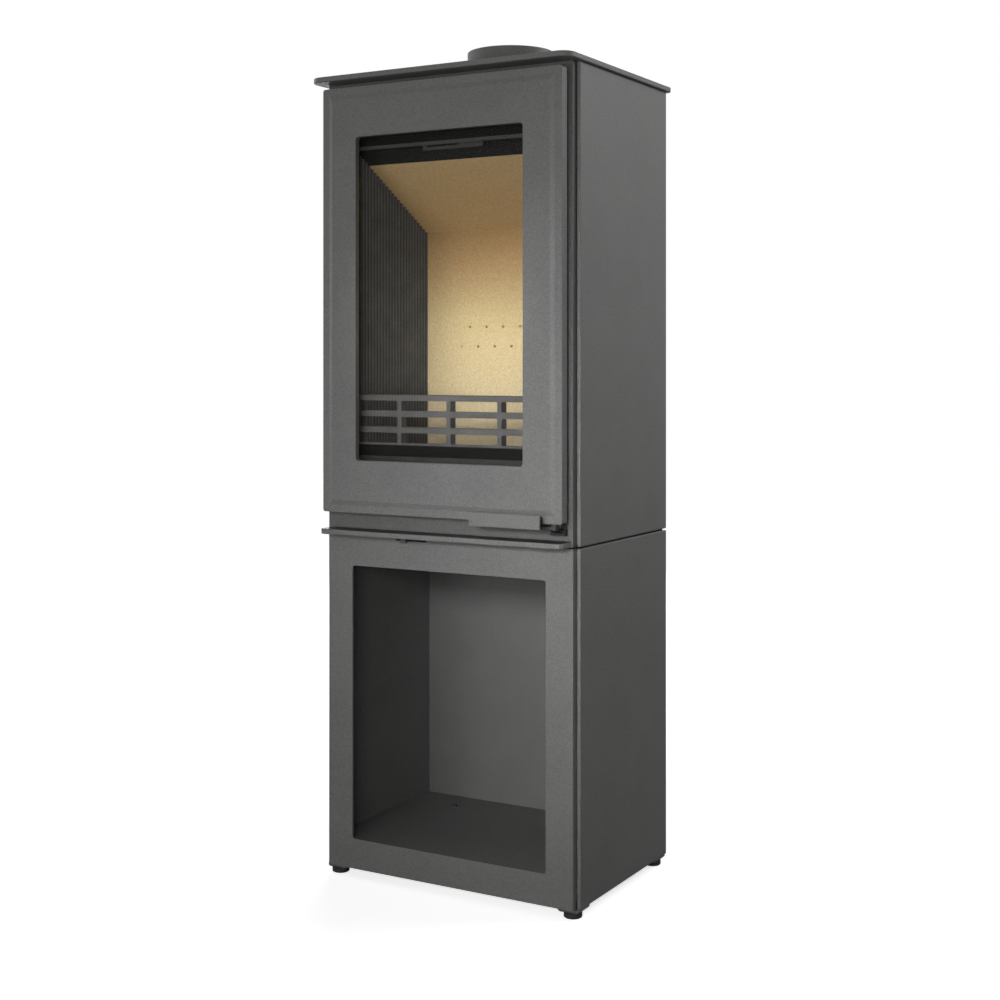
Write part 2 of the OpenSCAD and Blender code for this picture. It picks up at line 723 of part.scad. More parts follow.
// Upper part of the shell, stepped back under the flue: the rear flue outlet, and a nose before the baffle
module smoke_chamber() color("#333333") at_front() difference() {
    union() {
        difference() {
            wide_block(2 * shell_out, front_t, smoke_y1 + shell_t, smoke_z0 + 0.01, shell_z1 - shell_t);
            wide_block(2 * shell_in, 0, smoke_y1, smoke_z0 + shell_t, shell_z1);
            wide_block(2 * shell_in, 0, shell_y1, smoke_z0 - 1, shell_z1);
        }
        shell_rail(smoke_plate_y0, smoke_y1, smoke_plate_z);
        across(-shell_in - 0.5, shell_in + 0.5) polygon([
            [baffle_front - nose_t, baffle_z(baffle_front - nose_t) + 0.01],
            [baffle_front - 0.01, baffle_front_z + 0.01],
            [baffle_front - 0.01, baffle_front_z + board_rise + nose_t],
            [baffle_front - nose_t, baffle_front_z + board_rise + nose_t]]);
    }
    rod_y(rear_outlet_r, 0, rear_outlet_z, smoke_y1 - 1, smoke_y1 + shell_t + 1);
}

module firebox_top() color("#333333") at_front() difference() {
    wide_block(2 * shell_out, front_t, smoke_y1 + shell_t, shell_z1 - shell_t, shell_z1);
    rod_z(flue_bore / 2 + 2, 0, flue_y, shell_z1 - shell_t - 1, shell_z1 + 1);
    each_collar_bolt() rod_z(3 + running_fit, 0, 0, shell_z1 - shell_t - 1, shell_z1 + 1);
}

module rear_blanking_plate() color("#3d3d3d") at_front()
    rod_y(rear_outlet_r + 12, 0, rear_outlet_z, smoke_y1 + shell_t, smoke_y1 + shell_t + 3);

// Two rows of secondary air holes: the upper row sits between the holes of the lower one
module each_air_hole() {
    for (i = [0 : air_holes - 1])
        translate([(i - (air_holes - 1) / 2) * air_pitch, 0, hearth_z + air_row_z]) children();
    for (i = [0 : air_holes - 2])
        translate([(i - (air_holes - 2) / 2) * air_pitch, 0, hearth_z + air_row_z + air_row_gap])
            children();
}

module air_box() color("#3a3a3a") at_front() difference() {
    wide_block(air_box_w, air_box_y0, shell_y1 + shell_t + duct_d, body_floor_z, shell_z0);
    wide_block(air_box_w - 2 * strip_t, air_box_y0 + strip_t, shell_y1 + shell_t + duct_d - strip_t,
               body_floor_z - 1, shell_z0 - strip_t);
    rod_z(air_duct_r, 0, air_duct_y, shell_z0 - 5, shell_z0 + 1);
    wide_block(duct_w - 2 * strip_t, shell_y1 + shell_t, shell_y1 + shell_t + duct_d - strip_t,
               shell_z0 - 5, shell_z0 + 1);
    block(notch_x0 - slider_w, notch_x1 + slider_w, air_box_y0 - 1, air_box_y0 + strip_t + 1,
          body_floor_z - 1, slider_z0 + air_strip_t + clearance);
}

module secondary_duct() color("#3a3a3a") at_front() difference() {
    wide_block(duct_w, shell_y1 + shell_t, shell_y1 + shell_t + duct_d, shell_z0, duct_z1);
    wide_block(duct_w - 2 * strip_t, shell_y1, shell_y1 + shell_t + duct_d - strip_t,
               shell_z0 - 1, duct_z1 - strip_t);
}

module air_slider() color("#6a6a6a") at_front() difference() {
    block(lever_x - slider_w / 2, lever_x + slider_w / 2, slider_y0, slider_y0 + slider_d,
          slider_z0, slider_z0 + air_strip_t);
    air_inlet(slider_z0, slider_z0 + air_strip_t);
}

// Strip from the slider, down through the slot and out under the ledge, its tip turned down
module air_lever() color("#9a9a9a") at_front() across(lever_x - lever_w / 2, lever_x + lever_w / 2)
    polygon([
        [lever_tip_y, lever_z - 3.5], [lever_tip_y + air_strip_t, lever_z - 3.5],
        [lever_tip_y + air_strip_t, lever_z], [slider_y0, lever_z],
        [slider_y0, slider_z0 + air_strip_t], [slider_y0 - air_strip_t, slider_z0 + air_strip_t],
        [slider_y0 - air_strip_t, lever_z + air_strip_t - 0.4],
        [lever_tip_y, lever_z + air_strip_t - 0.4]]);

// Cast side liner: its top follows the baffle, its inner face has upright flutes and the guard's rebate
module liner(s) color("#1f1f1f") at_front() difference() {
    across(s > 0 ? half_fire : -half_fire - liner_t, s > 0 ? half_fire + liner_t : -half_fire)
        polygon([
            [fire_front, hearth_z], [rear_liner_y - clearance, hearth_z],
            [rear_liner_y - clearance, baffle_z(rear_liner_y) - 0.01],
            [fire_front, baffle_z(fire_front)]]);
    for (i = [0 : flutes])
        rod_z(flute_r, s * (half_fire - flute_r + flute_depth),
              fire_front + (fire_d - flutes * flute_pitch) / 2 + i * flute_pitch,
              hearth_z - 1, baffle_front_z + 30);
    block(s > 0 ? half_fire - 1 : -half_fire - guard_seat, s > 0 ? half_fire + guard_seat : 1 - half_fire,
          fire_front - 1, fire_front + guard_t + clearance, hearth_z - 1, hearth_z + guard_h + clearance);
}

module left_liner() liner(-1);
module right_liner() liner(1);

module rear_liner() color("#d8c49a") at_front() difference() {
    across(-shell_in + liner_fit, shell_in - liner_fit) polygon([
        [rear_liner_y, hearth_z], [rear_liner_y + board_t, hearth_z],
        [rear_liner_y + board_t, baffle_z(rear_liner_y + board_t) - 0.01],
        [rear_liner_y, baffle_z(rear_liner_y) - 0.01]]);
    each_air_hole() rod_y(air_hole_d / 2, 0, 0, rear_liner_y - 1, rear_liner_y + board_t + 1);
}

module baffle() color("#c9a878") at_front()
    across(-shell_in + liner_fit, shell_in - liner_fit) polygon([
        [baffle_front, baffle_front_z], [rear_liner_y + board_t, baffle_z(rear_liner_y + board_t)],
        [rear_liner_y + board_t, baffle_z(rear_liner_y + board_t) + board_rise],
        [baffle_front, baffle_front_z + board_rise]]);

module smoke_plate() color("#333333") at_front()
    wide_block(2 * (shell_in - 1), smoke_plate_y0, smoke_y1 - clearance,
               smoke_plate_z, smoke_plate_z + sheet_t);

// Air-wash deflector: a folded strip behind the top of the mouth with a slotted tab hanging from it
module air_wash_deflector() color("#3f3f3f") at_front() difference() {
    union() {
        across(-half_fire, half_fire) polygon([
            [deflector_y0, deflector_z - deflector_lip],
            [deflector_y0 + deflector_t, deflector_z - deflector_lip],
            [deflector_y0 + deflector_t, deflector_z - deflector_t],
            [deflector_y1, deflector_z - deflector_t],
            [deflector_y1, deflector_z], [front_t + deflector_t, deflector_z],
            [front_t + deflector_t, mouth_z1 + 20], [front_t, mouth_z1 + 20],
            [front_t, deflector_z], [deflector_y0, deflector_z]]);
        wide_block(deflector_tab_w, deflector_y1 - deflector_t, deflector_y1,
                   deflector_z - deflector_tab_h, deflector_z - 1);
    }
    translate([tab_slot_x, 0, deflector_z - tab_slot_drop])
        facing_front(deflector_y1 - deflector_t - 1, deflector_y1 + 1)
            round_rect(tab_slot_w, tab_slot_h, tab_slot_h / 2 - 0.1);
}

module hearth_plate() color("#242424") at_front() difference() {
    wide_block(2 * (shell_in - liner_fit), fire_front, shell_y1 - liner_fit, hearth_z0, hearth_z);
    translate([0, grate_y, 0]) wide_block(grate_w + 2, -grate_w / 2 - 1, grate_w / 2 + 1,
                                          hearth_z - grate_t, hearth_z + 1);
    translate([0, grate_y, 0]) wide_block(grate_w - 14, 7 - grate_w / 2, grate_w / 2 - 7,
                                          hearth_z0 - 1, hearth_z + 1);
}

module grate() color("#2a2a2a") at_front() translate([0, grate_y, hearth_z - grate_t]) difference() {
    linear_extrude(grate_t) round_rect(grate_w, grate_w, 4);
    for (i = [0 : grate_bars - 1])
        translate([(i - (grate_bars - 1) / 2) * (grate_w - 12) / grate_bars, 0, -1])
            linear_extrude(grate_t + 2) round_rect(8, grate_w - 30, 3.9);
}

module ash_pan() color("#4a4a4a") at_front() {
    difference() {
        wide_block(pan_w, pan_y0, pan_y1, ash_z0, ash_z0 + ash_h - rail_t - 3);
        wide_block(pan_w - 3, pan_y0 + 1.5, pan_y1 - 1.5, ash_z0 + 1.5, hearth_z0);
    }
    wide_block(90, pan_y0 - 9, pan_y0 + 0.5, ash_z0 + ash_h - rail_t - 5, ash_z0 + ash_h - rail_t - 3);
}

// Cast log guard in the liners' rebates: three rails over a solid foot, tied by posts, open at both ends
module log_guard() color("#444444") at_front() difference() {
    guard_y1 = fire_front + guard_t;
    union() {
        wide_block(guard_w, fire_front, guard_y1, hearth_z, hearth_z + guard_h - guard_round);
        wide_block(guard_w, fire_front + guard_round, guard_y1 - guard_round, hearth_z, hearth_z + guard_h);
        for (y = [fire_front + guard_round, guard_y1 - guard_round])
            translate([-guard_w / 2, y, hearth_z + guard_h - guard_round]) rotate([0, 90, 0])
                cylinder(r = guard_round, h = guard_w, $fn = small_fn);
    }
    for (row = [0 : 2], col = [-2 : 1]) {
        x0 = col == -2 ? -guard_w / 2 - 5 : col * guard_pitch + guard_post / 2;
        x1 = col == 1 ? guard_w / 2 + 5 : (col + 1) * guard_pitch - guard_post / 2;
        translate([(x0 + x1) / 2, 0, hearth_z + guard_skirt + row * rail_pitch + rail_slot / 2])
            facing_front(fire_front - 1, guard_y1 + 1) round_rect(x1 - x0, rail_slot, guard_round);
    }
}

// ---- hinges and latch keeper ----

module hinge_brackets() color("#3a3a3a") at_front()
    for (z = [hinge_low_z, hinge_high_z]) difference() {
        union() {
            rod_z(hinge_eye_r, hinge_x, -hinge_reach, z, z + hinge_bracket_t);
            block(hinge_x - 2, hinge_x + hinge_eye_r, -hinge_reach, 0, z, z + hinge_bracket_t);
        }
        rod_z(hinge_pin_d / 2 + running_fit, hinge_x, -hinge_reach, z - 1, z + hinge_bracket_t + 1);
    }

module hinge_pins() color("#8a8a8a") at_front() {
    rod_z(hinge_pin_d / 2, hinge_x, -hinge_reach, hinge_low_z, door_z0 + pocket_h + hinge_pin_l);
    rod_z(hinge_pin_d / 2, hinge_x, -hinge_reach,
          door_z1 - pocket_h - hinge_pin_l, hinge_high_z + hinge_bracket_t);
}

// Angle on the front plate with an upright at its end, whose roller pin the cam's finger meets
module latch_keeper() color("#202020") at_front() {
    block(keeper_x0, keeper_x1, -keeper_t, 0, keeper_z0, keeper_z1);
    block(keeper_x0, keeper_x1, -keeper_d, 0, keeper_z0, keeper_z0 + keeper_bar_h);
    block(keeper_x1 - keeper_t, keeper_x1, -keeper_d, 0, keeper_z0, keeper_z1);
    rod_z(roller_r, keeper_x1 - keeper_t / 2, roller_y, keeper_z1 - 1, cam_z1);
}

module keeper_screws() color("#303030") at_front()
    for (x = [keeper_x0 + 4, keeper_x1 - keeper_t - 4])
        translate([x, -keeper_t, (keeper_z0 + keeper_bar_h + keeper_z1) / 2])
            rotate([90, 0, 0]) socket_head(2.2, 1.4);

// ---- door ----

// Cast frame: flat rim, bevelled raised field, window, glass recess, rope groove and hinge pockets
module door_frame() color("#606060") at_front() difference() {
    union() {
        translate([0, 0, (door_z0 + door_z1) / 2])
            facing_front(door_rim, door_back) round_rect(door_w, door_h, door_corner_r);
        raised_field();
    }
    translate([0, 0, window_zc]) {
        facing_front(door_front - 1, 0) round_rect(window_w, window_h, window_r);
        facing_front(recess_y, 0) round_rect(pane_w + 2, pane_h + 2, window_r);
    }
    translate([0, 0, rope_zc]) facing_front(door_back - rope_groove, 0) difference() {
        round_rect(rope_w + rope_d, rope_h + rope_d, rope_corner_r + rope_d / 2);
        round_rect(rope_w - rope_d, rope_h - rope_d, rope_corner_r - rope_d / 2);
    }
    for (z0 = [door_z0 - 1, door_z1 - pocket_h])
        block(-door_w / 2 - 1, -door_w / 2 + pocket_w, -hinge_reach - hinge_eye_r - 0.5, 0,
              z0, z0 + pocket_h + 1);
    rod_z(hinge_pin_d / 2 + running_fit, hinge_x, -hinge_reach,
          door_z0, door_z0 + pocket_h + hinge_pin_l + 1);
    rod_z(hinge_pin_d / 2 + running_fit, hinge_x, -hinge_reach,
          door_z1 - pocket_h - hinge_pin_l - 1, door_z1);
    rod_z(latch_pin_d / 2 + running_fit, latch_x, latch_y, door_z0 - 1, door_z0 + latch_pin_l + 1);
    each_clip() {
        block(-clip_l / 2 - 0.5, clip_l / 2 + 0.5, glass_y1, 0, -clip_out - 0.5, 12);
        rod_y(clip_screw_r + running_fit, 0, -clip_screw_out, door_front + 5, 0);
    }
}

// Raised field with bevelled edges, where two crossed ridges meet
module raised_field() intersection() {
    outer_x = door_w / 2 - rim_w;
    inner_x = outer_x - bevel_w;
    translate([0, 0, door_z0]) linear_extrude(door_h) polygon([
        [-outer_x, door_rim + 0.5], [-outer_x, door_rim], [-inner_x, door_front],
        [inner_x, door_front], [outer_x, door_rim], [outer_x, door_rim + 0.5]]);
    across(-door_w / 2, door_w / 2) polygon([
        [door_rim + 0.5, door_z0 + rim_w], [door_rim, door_z0 + rim_w],
        [door_front, door_z0 + rim_w + bevel_w], [door_front, door_z1 - rim_w - bevel_w],
        [door_rim, door_z1 - rim_w], [door_rim + 0.5, door_z1 - rim_w]]);
}

// Places of the glass clips, each with its -Z side pointing out from the window
module each_clip() {
    for (s = [-1, 1], z = [-window_h / 3, window_h / 3])
        translate([s * (pane_w / 2 + 1), 0, window_zc + z]) rotate([0, -s * 90, 0]) children();
    for (s = [-1, 1]) translate([0, 0, window_zc + s * (pane_h / 2 + 1)])
        rotate([0, s > 0 ? 180 : 0, 0]) children();
}

module door_glass() color("#30302c", 0.35) at_front()
    translate([0, 0, window_zc]) facing_front(glass_y0, glass_y1) round_rect(pane_w, pane_h, window_r);

module glass_gasket() color("#d9d6cc") at_front() translate([0, 0, window_zc])
    facing_front(recess_y, glass_y0) difference() {
        round_rect(pane_w, pane_h, window_r);
        round_rect(window_w + 2, window_h + 2, window_r);
    }

module glass_clips() color("#8d8d8d") at_front() each_clip() difference() {
    block(-clip_l / 2, clip_l / 2, glass_y1, glass_y1 + clip_t, -clip_out, clip_in);
    rod_y(clip_screw_r + running_fit, 0, -clip_screw_out, glass_y1 - 1, glass_y1 + clip_t + 1);
}

module clip_screws() color("#8d8d8d") at_front() each_clip() {
    rod_y(clip_screw_r, 0, -clip_screw_out, door_front + 6, glass_y1 + clip_t + 0.5);
    translate([0, glass_y1 + clip_t, -clip_screw_out]) rotate([-90, 0, 0]) socket_head(3.6, 2);
}

// Rope seal: four straight runs joined by quarter rings
module door_rope() color("#9a968c") at_front() translate([0, rope_y, rope_zc]) {
    run_x = rope_w / 2 - rope_corner_r;
    run_z = rope_h / 2 - rope_corner_r;
    for (s = [-1, 1]) {
        translate([s * rope_w / 2, 0, -run_z]) cylinder(r = rope_d / 2, h = 2 * run_z, $fn = small_fn);
        translate([-run_x, 0, s * rope_h / 2]) rotate([0, 90, 0])
            cylinder(r = rope_d / 2, h = 2 * run_x, $fn = small_fn);
    }
    for (q = [0 : 3]) {
        sx = q == 0 || q == 3 ? 1 : -1;
        sz = q < 2 ? 1 : -1;
        translate([sx * run_x, 0, sz * run_z]) rotate([90, 0, 0]) rotate([0, 0, q * 90])
            rotate_extrude(angle = 90, $fn = small_fn) translate([rope_corner_r, 0]) circle(rope_d / 2);
    }
}

// ---- handle and latch ----

module handle_plate() color("#7a7a7a") at_front() difference() {
    block(plate_x0, plate_x1, plate_y0, plate_y1, plate_z0, plate_z1);
    each_handle_screw() rod_y(1.5 + running_fit, 0, 0, plate_y1 - 2.2, plate_y1 + 1);
}

module each_handle_screw()
    for (x = [plate_x1 - tab_l + 9, plate_x1 - 9])
        translate([x, 0, plate_z0 + handle_h / 2 + 1]) children();

// Flat lever from the pivot to the handle plate, with a folded tab behind the plate
module latch_lever() color("#2b2b2b") at_front() difference() {
    union() {
        translate([0, 0, lever_z0]) linear_extrude(lever_t) {
            translate([latch_x, latch_y]) circle(hub_r);
            polygon([
                [plate_x1 - tab_l, plate_y1], [plate_x1, plate_y1],
                [plate_x1 + 3, plate_y1 + 5], [latch_x + 5, latch_y - hub_r + 1.5],
                [latch_x - 4, latch_y + hub_r - 1], [plate_x1 - tab_l, plate_y1 + 10]]);
        }
        block(plate_x1 - tab_l, plate_x1, plate_y1, plate_y1 + tab_t, lever_z0, plate_z1 - 3);
    }
    rod_z(latch_pin_d / 2 + running_fit, latch_x, latch_y, lever_z0 - 1, lever_z1 + 1);
    each_handle_screw() rod_y(1.5 + running_fit, 0, 0, plate_y1 - 1, plate_y1 + tab_t + 1);
}

module handle_screws() color("#4a4a4a") at_front() each_handle_screw() {
    rod_y(1.5, 0, 0, plate_y1 - 2, plate_y1 + tab_t + 0.5);
    translate([0, plate_y1 + tab_t, 0]) rotate([-90, 0, 0]) socket_head(2.8, 1.8);
}

// Cam with a hooked lobe that turns up to the keeper's roller
module latch_cam() color("#202020") at_front() difference() {
    translate([latch_x, latch_y, cam_z0]) linear_extrude(cam_t) difference() {
        union() {
            circle(hub_r);
            rotate(finger_a) translate([0, -finger_r]) square([finger_l, 2 * finger_r]);
            rotate(finger_a) translate([finger_l, 0]) circle(finger_r, $fn = small_fn);
        }
        rotate(finger_a) translate([finger_l + 1, finger_r + 1.4]) circle(2.2, $fn = small_fn);
    }
    rod_z(latch_pin_d / 2 + running_fit, latch_x, latch_y, cam_z0 - 1, cam_z1 + 1);
    rod_y(hub_screw_r + running_fit, latch_x, (cam_z0 + cam_z1) / 2, latch_y - hub_r - 1, latch_y);
}

module latch_pivot() color("#303030") at_front() {
    rod_z(latch_pin_d / 2, latch_x, latch_y, lever_z0 - 0.5, door_z0 + latch_pin_l);
    translate([latch_x, latch_y, lever_z0]) rotate([180, 0, 0]) socket_head(7, pivot_head_h);
}

module hub_screw() color("#8a8a8a") at_front()
    rod_y(hub_screw_r, latch_x, (cam_z0 + cam_z1) / 2,
          latch_y - hub_r - 1, latch_y - latch_pin_d / 2 - clearance);

base_front();
base_left_side();
base_right_side();
base_back();
log_floor();
joint_plate();
foot_plates();
foot_nuts();
foot_front_left();
foot_front_right();
foot_rear_left();
foot_rear_right();
floor_screws();
joining_bolts();
joining_nuts();
body_front();
body_left_side();
body_right_side();
body_back();
body_floor();
rear_cover();
rear_cover_screws();
ledge();
top_plate();
flue_collar();
collar_bolts();
firebox_shell();
smoke_chamber();
firebox_top();
rear_blanking_plate();
air_box();
secondary_duct();
air_slider();
air_lever();
left_liner();
right_liner();
rear_liner();
baffle();
smoke_plate();
air_wash_deflector();
hearth_plate();
grate();
ash_pan();
log_guard();
hinge_brackets();
hinge_pins();
latch_keeper();
keeper_screws();
door_frame();
door_glass();
glass_gasket();
glass_clips();
clip_screws();
door_rope();
handle_plate();
latch_lever();
latch_cam();
latch_pivot();
hub_screw();
handle_screws();
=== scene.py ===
import json
import math

import bmesh
import bpy
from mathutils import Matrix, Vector


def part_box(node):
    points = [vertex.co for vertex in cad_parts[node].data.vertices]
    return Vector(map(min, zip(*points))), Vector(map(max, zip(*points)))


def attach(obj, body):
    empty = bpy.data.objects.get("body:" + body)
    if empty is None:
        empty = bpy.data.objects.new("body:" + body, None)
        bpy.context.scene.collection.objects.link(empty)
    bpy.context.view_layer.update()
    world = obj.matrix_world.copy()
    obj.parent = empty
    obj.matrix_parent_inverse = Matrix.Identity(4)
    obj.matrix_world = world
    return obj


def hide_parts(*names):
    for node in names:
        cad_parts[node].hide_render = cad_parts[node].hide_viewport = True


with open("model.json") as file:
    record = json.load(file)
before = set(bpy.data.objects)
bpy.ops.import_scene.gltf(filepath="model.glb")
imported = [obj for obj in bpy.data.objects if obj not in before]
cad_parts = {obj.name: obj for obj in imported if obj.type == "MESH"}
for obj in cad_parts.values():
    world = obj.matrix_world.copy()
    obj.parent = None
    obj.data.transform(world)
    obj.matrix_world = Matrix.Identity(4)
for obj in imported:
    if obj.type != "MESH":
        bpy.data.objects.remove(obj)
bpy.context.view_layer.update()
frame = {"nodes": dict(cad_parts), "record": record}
nodes = frame["nodes"]
record = frame["record"]
slotOfNode = {s["node"]: s["material_slot"] for s in record["subparts"]}
bodyOfNode = {n: b for b, members in record["behaviour"]["bodies"].items() for n in members}
print("frame loaded:", len(nodes), "nodes")


def hexToLinear(hexColour):
    values = [int(hexColour[i:i + 2], 16) / 255 for i in (1, 3, 5)]
    return [v / 12.92 if v <= 0.04045 else ((v + 0.055) / 1.055) ** 2.4 for v in values] + [1.0]


def perMm(size):
    return 1000.0 / size  # texture scale whose features are about size mm wide


def inMetres(settings):  # the lengths are kept in mm, and are the floats
    return {name.removesuffix("Mm"): value / 1000 for name, value in settings.items()
            if isinstance(value, float)}


def addNode(tree, kind, values=None, links=None, **settings):
    node = tree.nodes.new(kind)
    for name, value in settings.items():
        setattr(node, name, value)
    for socket, value in (values or {}).items():
        node.inputs[socket].default_value = value
    for socket, source in (links or {}).items():
        tree.links.new(source, node.inputs[socket])
    return node


def newFinish(name, colour, roughness, metallic=0.0):
    material = bpy.data.materials.new(name)
    material.use_nodes = True
    tree = material.node_tree
    shader = tree.nodes["Principled BSDF"]
    shader.inputs["Base Color"].default_value = hexToLinear(colour)
    shader.inputs["Roughness"].default_value = roughness
    shader.inputs["Metallic"].default_value = metallic
    coords = tree.nodes.new("ShaderNodeTexCoord").outputs["Object"]
    return material, tree, shader, coords


def rampStops(ramp, stops):
    while len(ramp.elements) > 1:
        ramp.elements.remove(ramp.elements[-1])
    ramp.elements[0].position = stops[0][0]
    ramp.elements[0].color = hexToLinear(stops[0][1])
    for position, colour in stops[1:]:
        ramp.elements.new(position).color = hexToLinear(colour)


def paintedShadeByHeight(tree, coords, surface, clean, black):  # painted shade: unshaded at one height, black at the other
    height = addNode(tree, "ShaderNodeSeparateXYZ", links={"Vector": coords})
    paintedShade = addNode(tree, "ShaderNodeMapRange", {"From Min": clean, "From Max": black},
                   {"Value": height.outputs["Z"]})
    return addNode(tree, "ShaderNodeMix", {7: hexToLinear("#0e0d0d")},
                   {0: paintedShade.outputs["Result"], 6: surface}, data_type="RGBA").outputs[2]


paintGrain = {"widthMm": 1.6, "depthMm": 0.09, "cloudMm": 60}


# Silicone stove paint sprayed on steel: matt, with a fine sandy grain that catches the light
# in specks. The grain is drawn about five times as coarse as the real 0.3 mm one, and parts
# that stand in others' shade get painted shade, a darker colour.
def stovePaint(name, colours, roughness, gloss, shadeFrom=None):
    material, tree, shader, coords = newFinish(name, colours[1], roughness)
    shader.inputs["Specular IOR Level"].default_value = gloss
    cloud = addNode(tree, "ShaderNodeTexNoise",
                    {"Scale": perMm(paintGrain["cloudMm"]), "Detail": 3.0, "Roughness": 0.5},
                    {"Vector": coords})
    grain = addNode(tree, "ShaderNodeTexNoise",
                    {"Scale": perMm(paintGrain["widthMm"]), "Detail": 2.0, "Roughness": 0.7},
                    {"Vector": coords})
    mixed = addNode(tree, "ShaderNodeMath", {1: 0.84}, {0: grain.outputs["Fac"]}, operation="MULTIPLY")
    tone = addNode(tree, "ShaderNodeMath", {1: 0.16}, {0: cloud.outputs["Fac"], 2: mixed.outputs[0]},
                   operation="MULTIPLY_ADD")
    colour = addNode(tree, "ShaderNodeValToRGB", links={"Fac": tone.outputs[0]})
    rampStops(colour.color_ramp, [(0.36, colours[0]), (0.5, colours[1]), (0.66, colours[2])])
    surface = colour.outputs["Color"]
    if shadeFrom is not None:
        surface = paintedShadeByHeight(tree, coords, surface, shadeFrom, shadeFrom + 0.0005)
    tree.links.new(surface, shader.inputs["Base Color"])
    sheen = addNode(tree, "ShaderNodeMapRange", {"From Min": 0.3, "From Max": 0.7,
                                                 "To Min": roughness + 0.07, "To Max": roughness - 0.07},
                    {"Value": grain.outputs["Fac"]})
    tree.links.new(sheen.outputs["Result"], shader.inputs["Roughness"])
    bump = addNode(tree, "ShaderNodeBump", {"Strength": 0.5, "Distance": paintGrain["depthMm"] / 1000},
                   {"Height": grain.outputs["Fac"]})
    tree.links.new(bump.outputs["Normal"], shader.inputs["Normal"])
    return material


paintedShadeLines = {  # in m, from a part's top or foot: where its painted shade starts or stops
    "ledgeTop": 0.0009, "deflectorFoot": 0.0102, "guardFoot": 0.0178,
}

anthracitePaint = stovePaint("AnthraciteStovePaint", ("#5c5c5b", "#666665", "#71716f"), 0.5, 0.35)
ledgePaint = stovePaint("LedgeStovePaint", ("#5c5c5b", "#666665", "#71716f"), 0.5, 0.35,
                        shadeFrom=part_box("ledge")[1].z - paintedShadeLines["ledgeTop"])  # its flat top gets painted shade, near black
# darker all over: painted shade, as the door shades the strips of the front plate that show
frontPlateShadePaint = stovePaint("StovePaintWithPaintedShade", ("#4d4d4c", "#565655", "#60605e"), 0.55, 0.3)
blackPaint = stovePaint("BlackHeatPaint", ("#191919", "#1f1f1f", "#262626"), 0.65, 0.15)
footPaint = stovePaint("BlackZincFoot", ("#2a2a2a", "#303030", "#383838"), 0.45, 0.3)
# the deflector's strip above its lip gets painted shade, near black
deflectorPaint = stovePaint("HeatPaintWithPaintedShade", ("#4c4b49", "#565553", "#605f5c"), 0.65, 0.15,
                            shadeFrom=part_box("air_wash_deflector")[0].z + paintedShadeLines["deflectorFoot"])


# Grey cast iron under a thin black wash: sand-cast skin with dimples of about 1.6 mm, matt.
# Painted shade darkens the part below a given height, and what lies deeper than fluteFace.
def castIron(name, colours, gloss, shadeTop=None, fluteFace=None):
    material, tree, shader, coords = newFinish(name, colours[1], 0.62)
    shader.inputs["Specular IOR Level"].default_value = gloss
    skin = addNode(tree, "ShaderNodeTexNoise", {"Scale": perMm(1.6), "Detail": 4.0, "Roughness": 0.65},
                   {"Vector": coords})
    patches = addNode(tree, "ShaderNodeTexNoise", {"Scale": perMm(30), "Detail": 3.0}, {"Vector": coords})
    tone = addNode(tree, "ShaderNodeMath", {1: 0.4}, {0: patches.outputs["Fac"]}, operation="MULTIPLY")
    both = addNode(tree, "ShaderNodeMath", {1: 0.6}, {0: skin.outputs["Fac"], 2: tone.outputs[0]},
                   operation="MULTIPLY_ADD")
    colour = addNode(tree, "ShaderNodeValToRGB", links={"Fac": both.outputs[0]})
    rampStops(colour.color_ramp, [(0.35, colours[0]), (0.5, colours[1]), (0.68, colours[2])])
    surface = colour.outputs["Color"]
    if shadeTop is not None:
        surface = paintedShadeByHeight(tree, coords, surface, shadeTop, shadeTop - 0.002)
    if fluteFace is not None:  # painted shade in the flutes
        across = addNode(tree, "ShaderNodeSeparateXYZ", links={"Vector": coords})
        depth = addNode(tree, "ShaderNodeMath", links={0: across.outputs["X"]}, operation="ABSOLUTE")
        paintedShade = addNode(tree, "ShaderNodeMapRange",
                       {"From Min": fluteFace + 0.0002, "From Max": fluteFace + 0.0022, "To Max": 0.55},
                       {"Value": depth.outputs[0]})
        surface = addNode(tree, "ShaderNodeMix", {7: hexToLinear("#1c1c1b")},
                          {0: paintedShade.outputs["Result"], 6: surface}, data_type="RGBA").outputs[2]
    tree.links.new(surface, shader.inputs["Base Color"])
    bump = addNode(tree, "ShaderNodeBump", {"Strength": 0.6, "Distance": 0.0002},
                   {"Height": skin.outputs["Fac"]})
    tree.links.new(bump.outputs["Normal"], shader.inputs["Normal"])
    return material
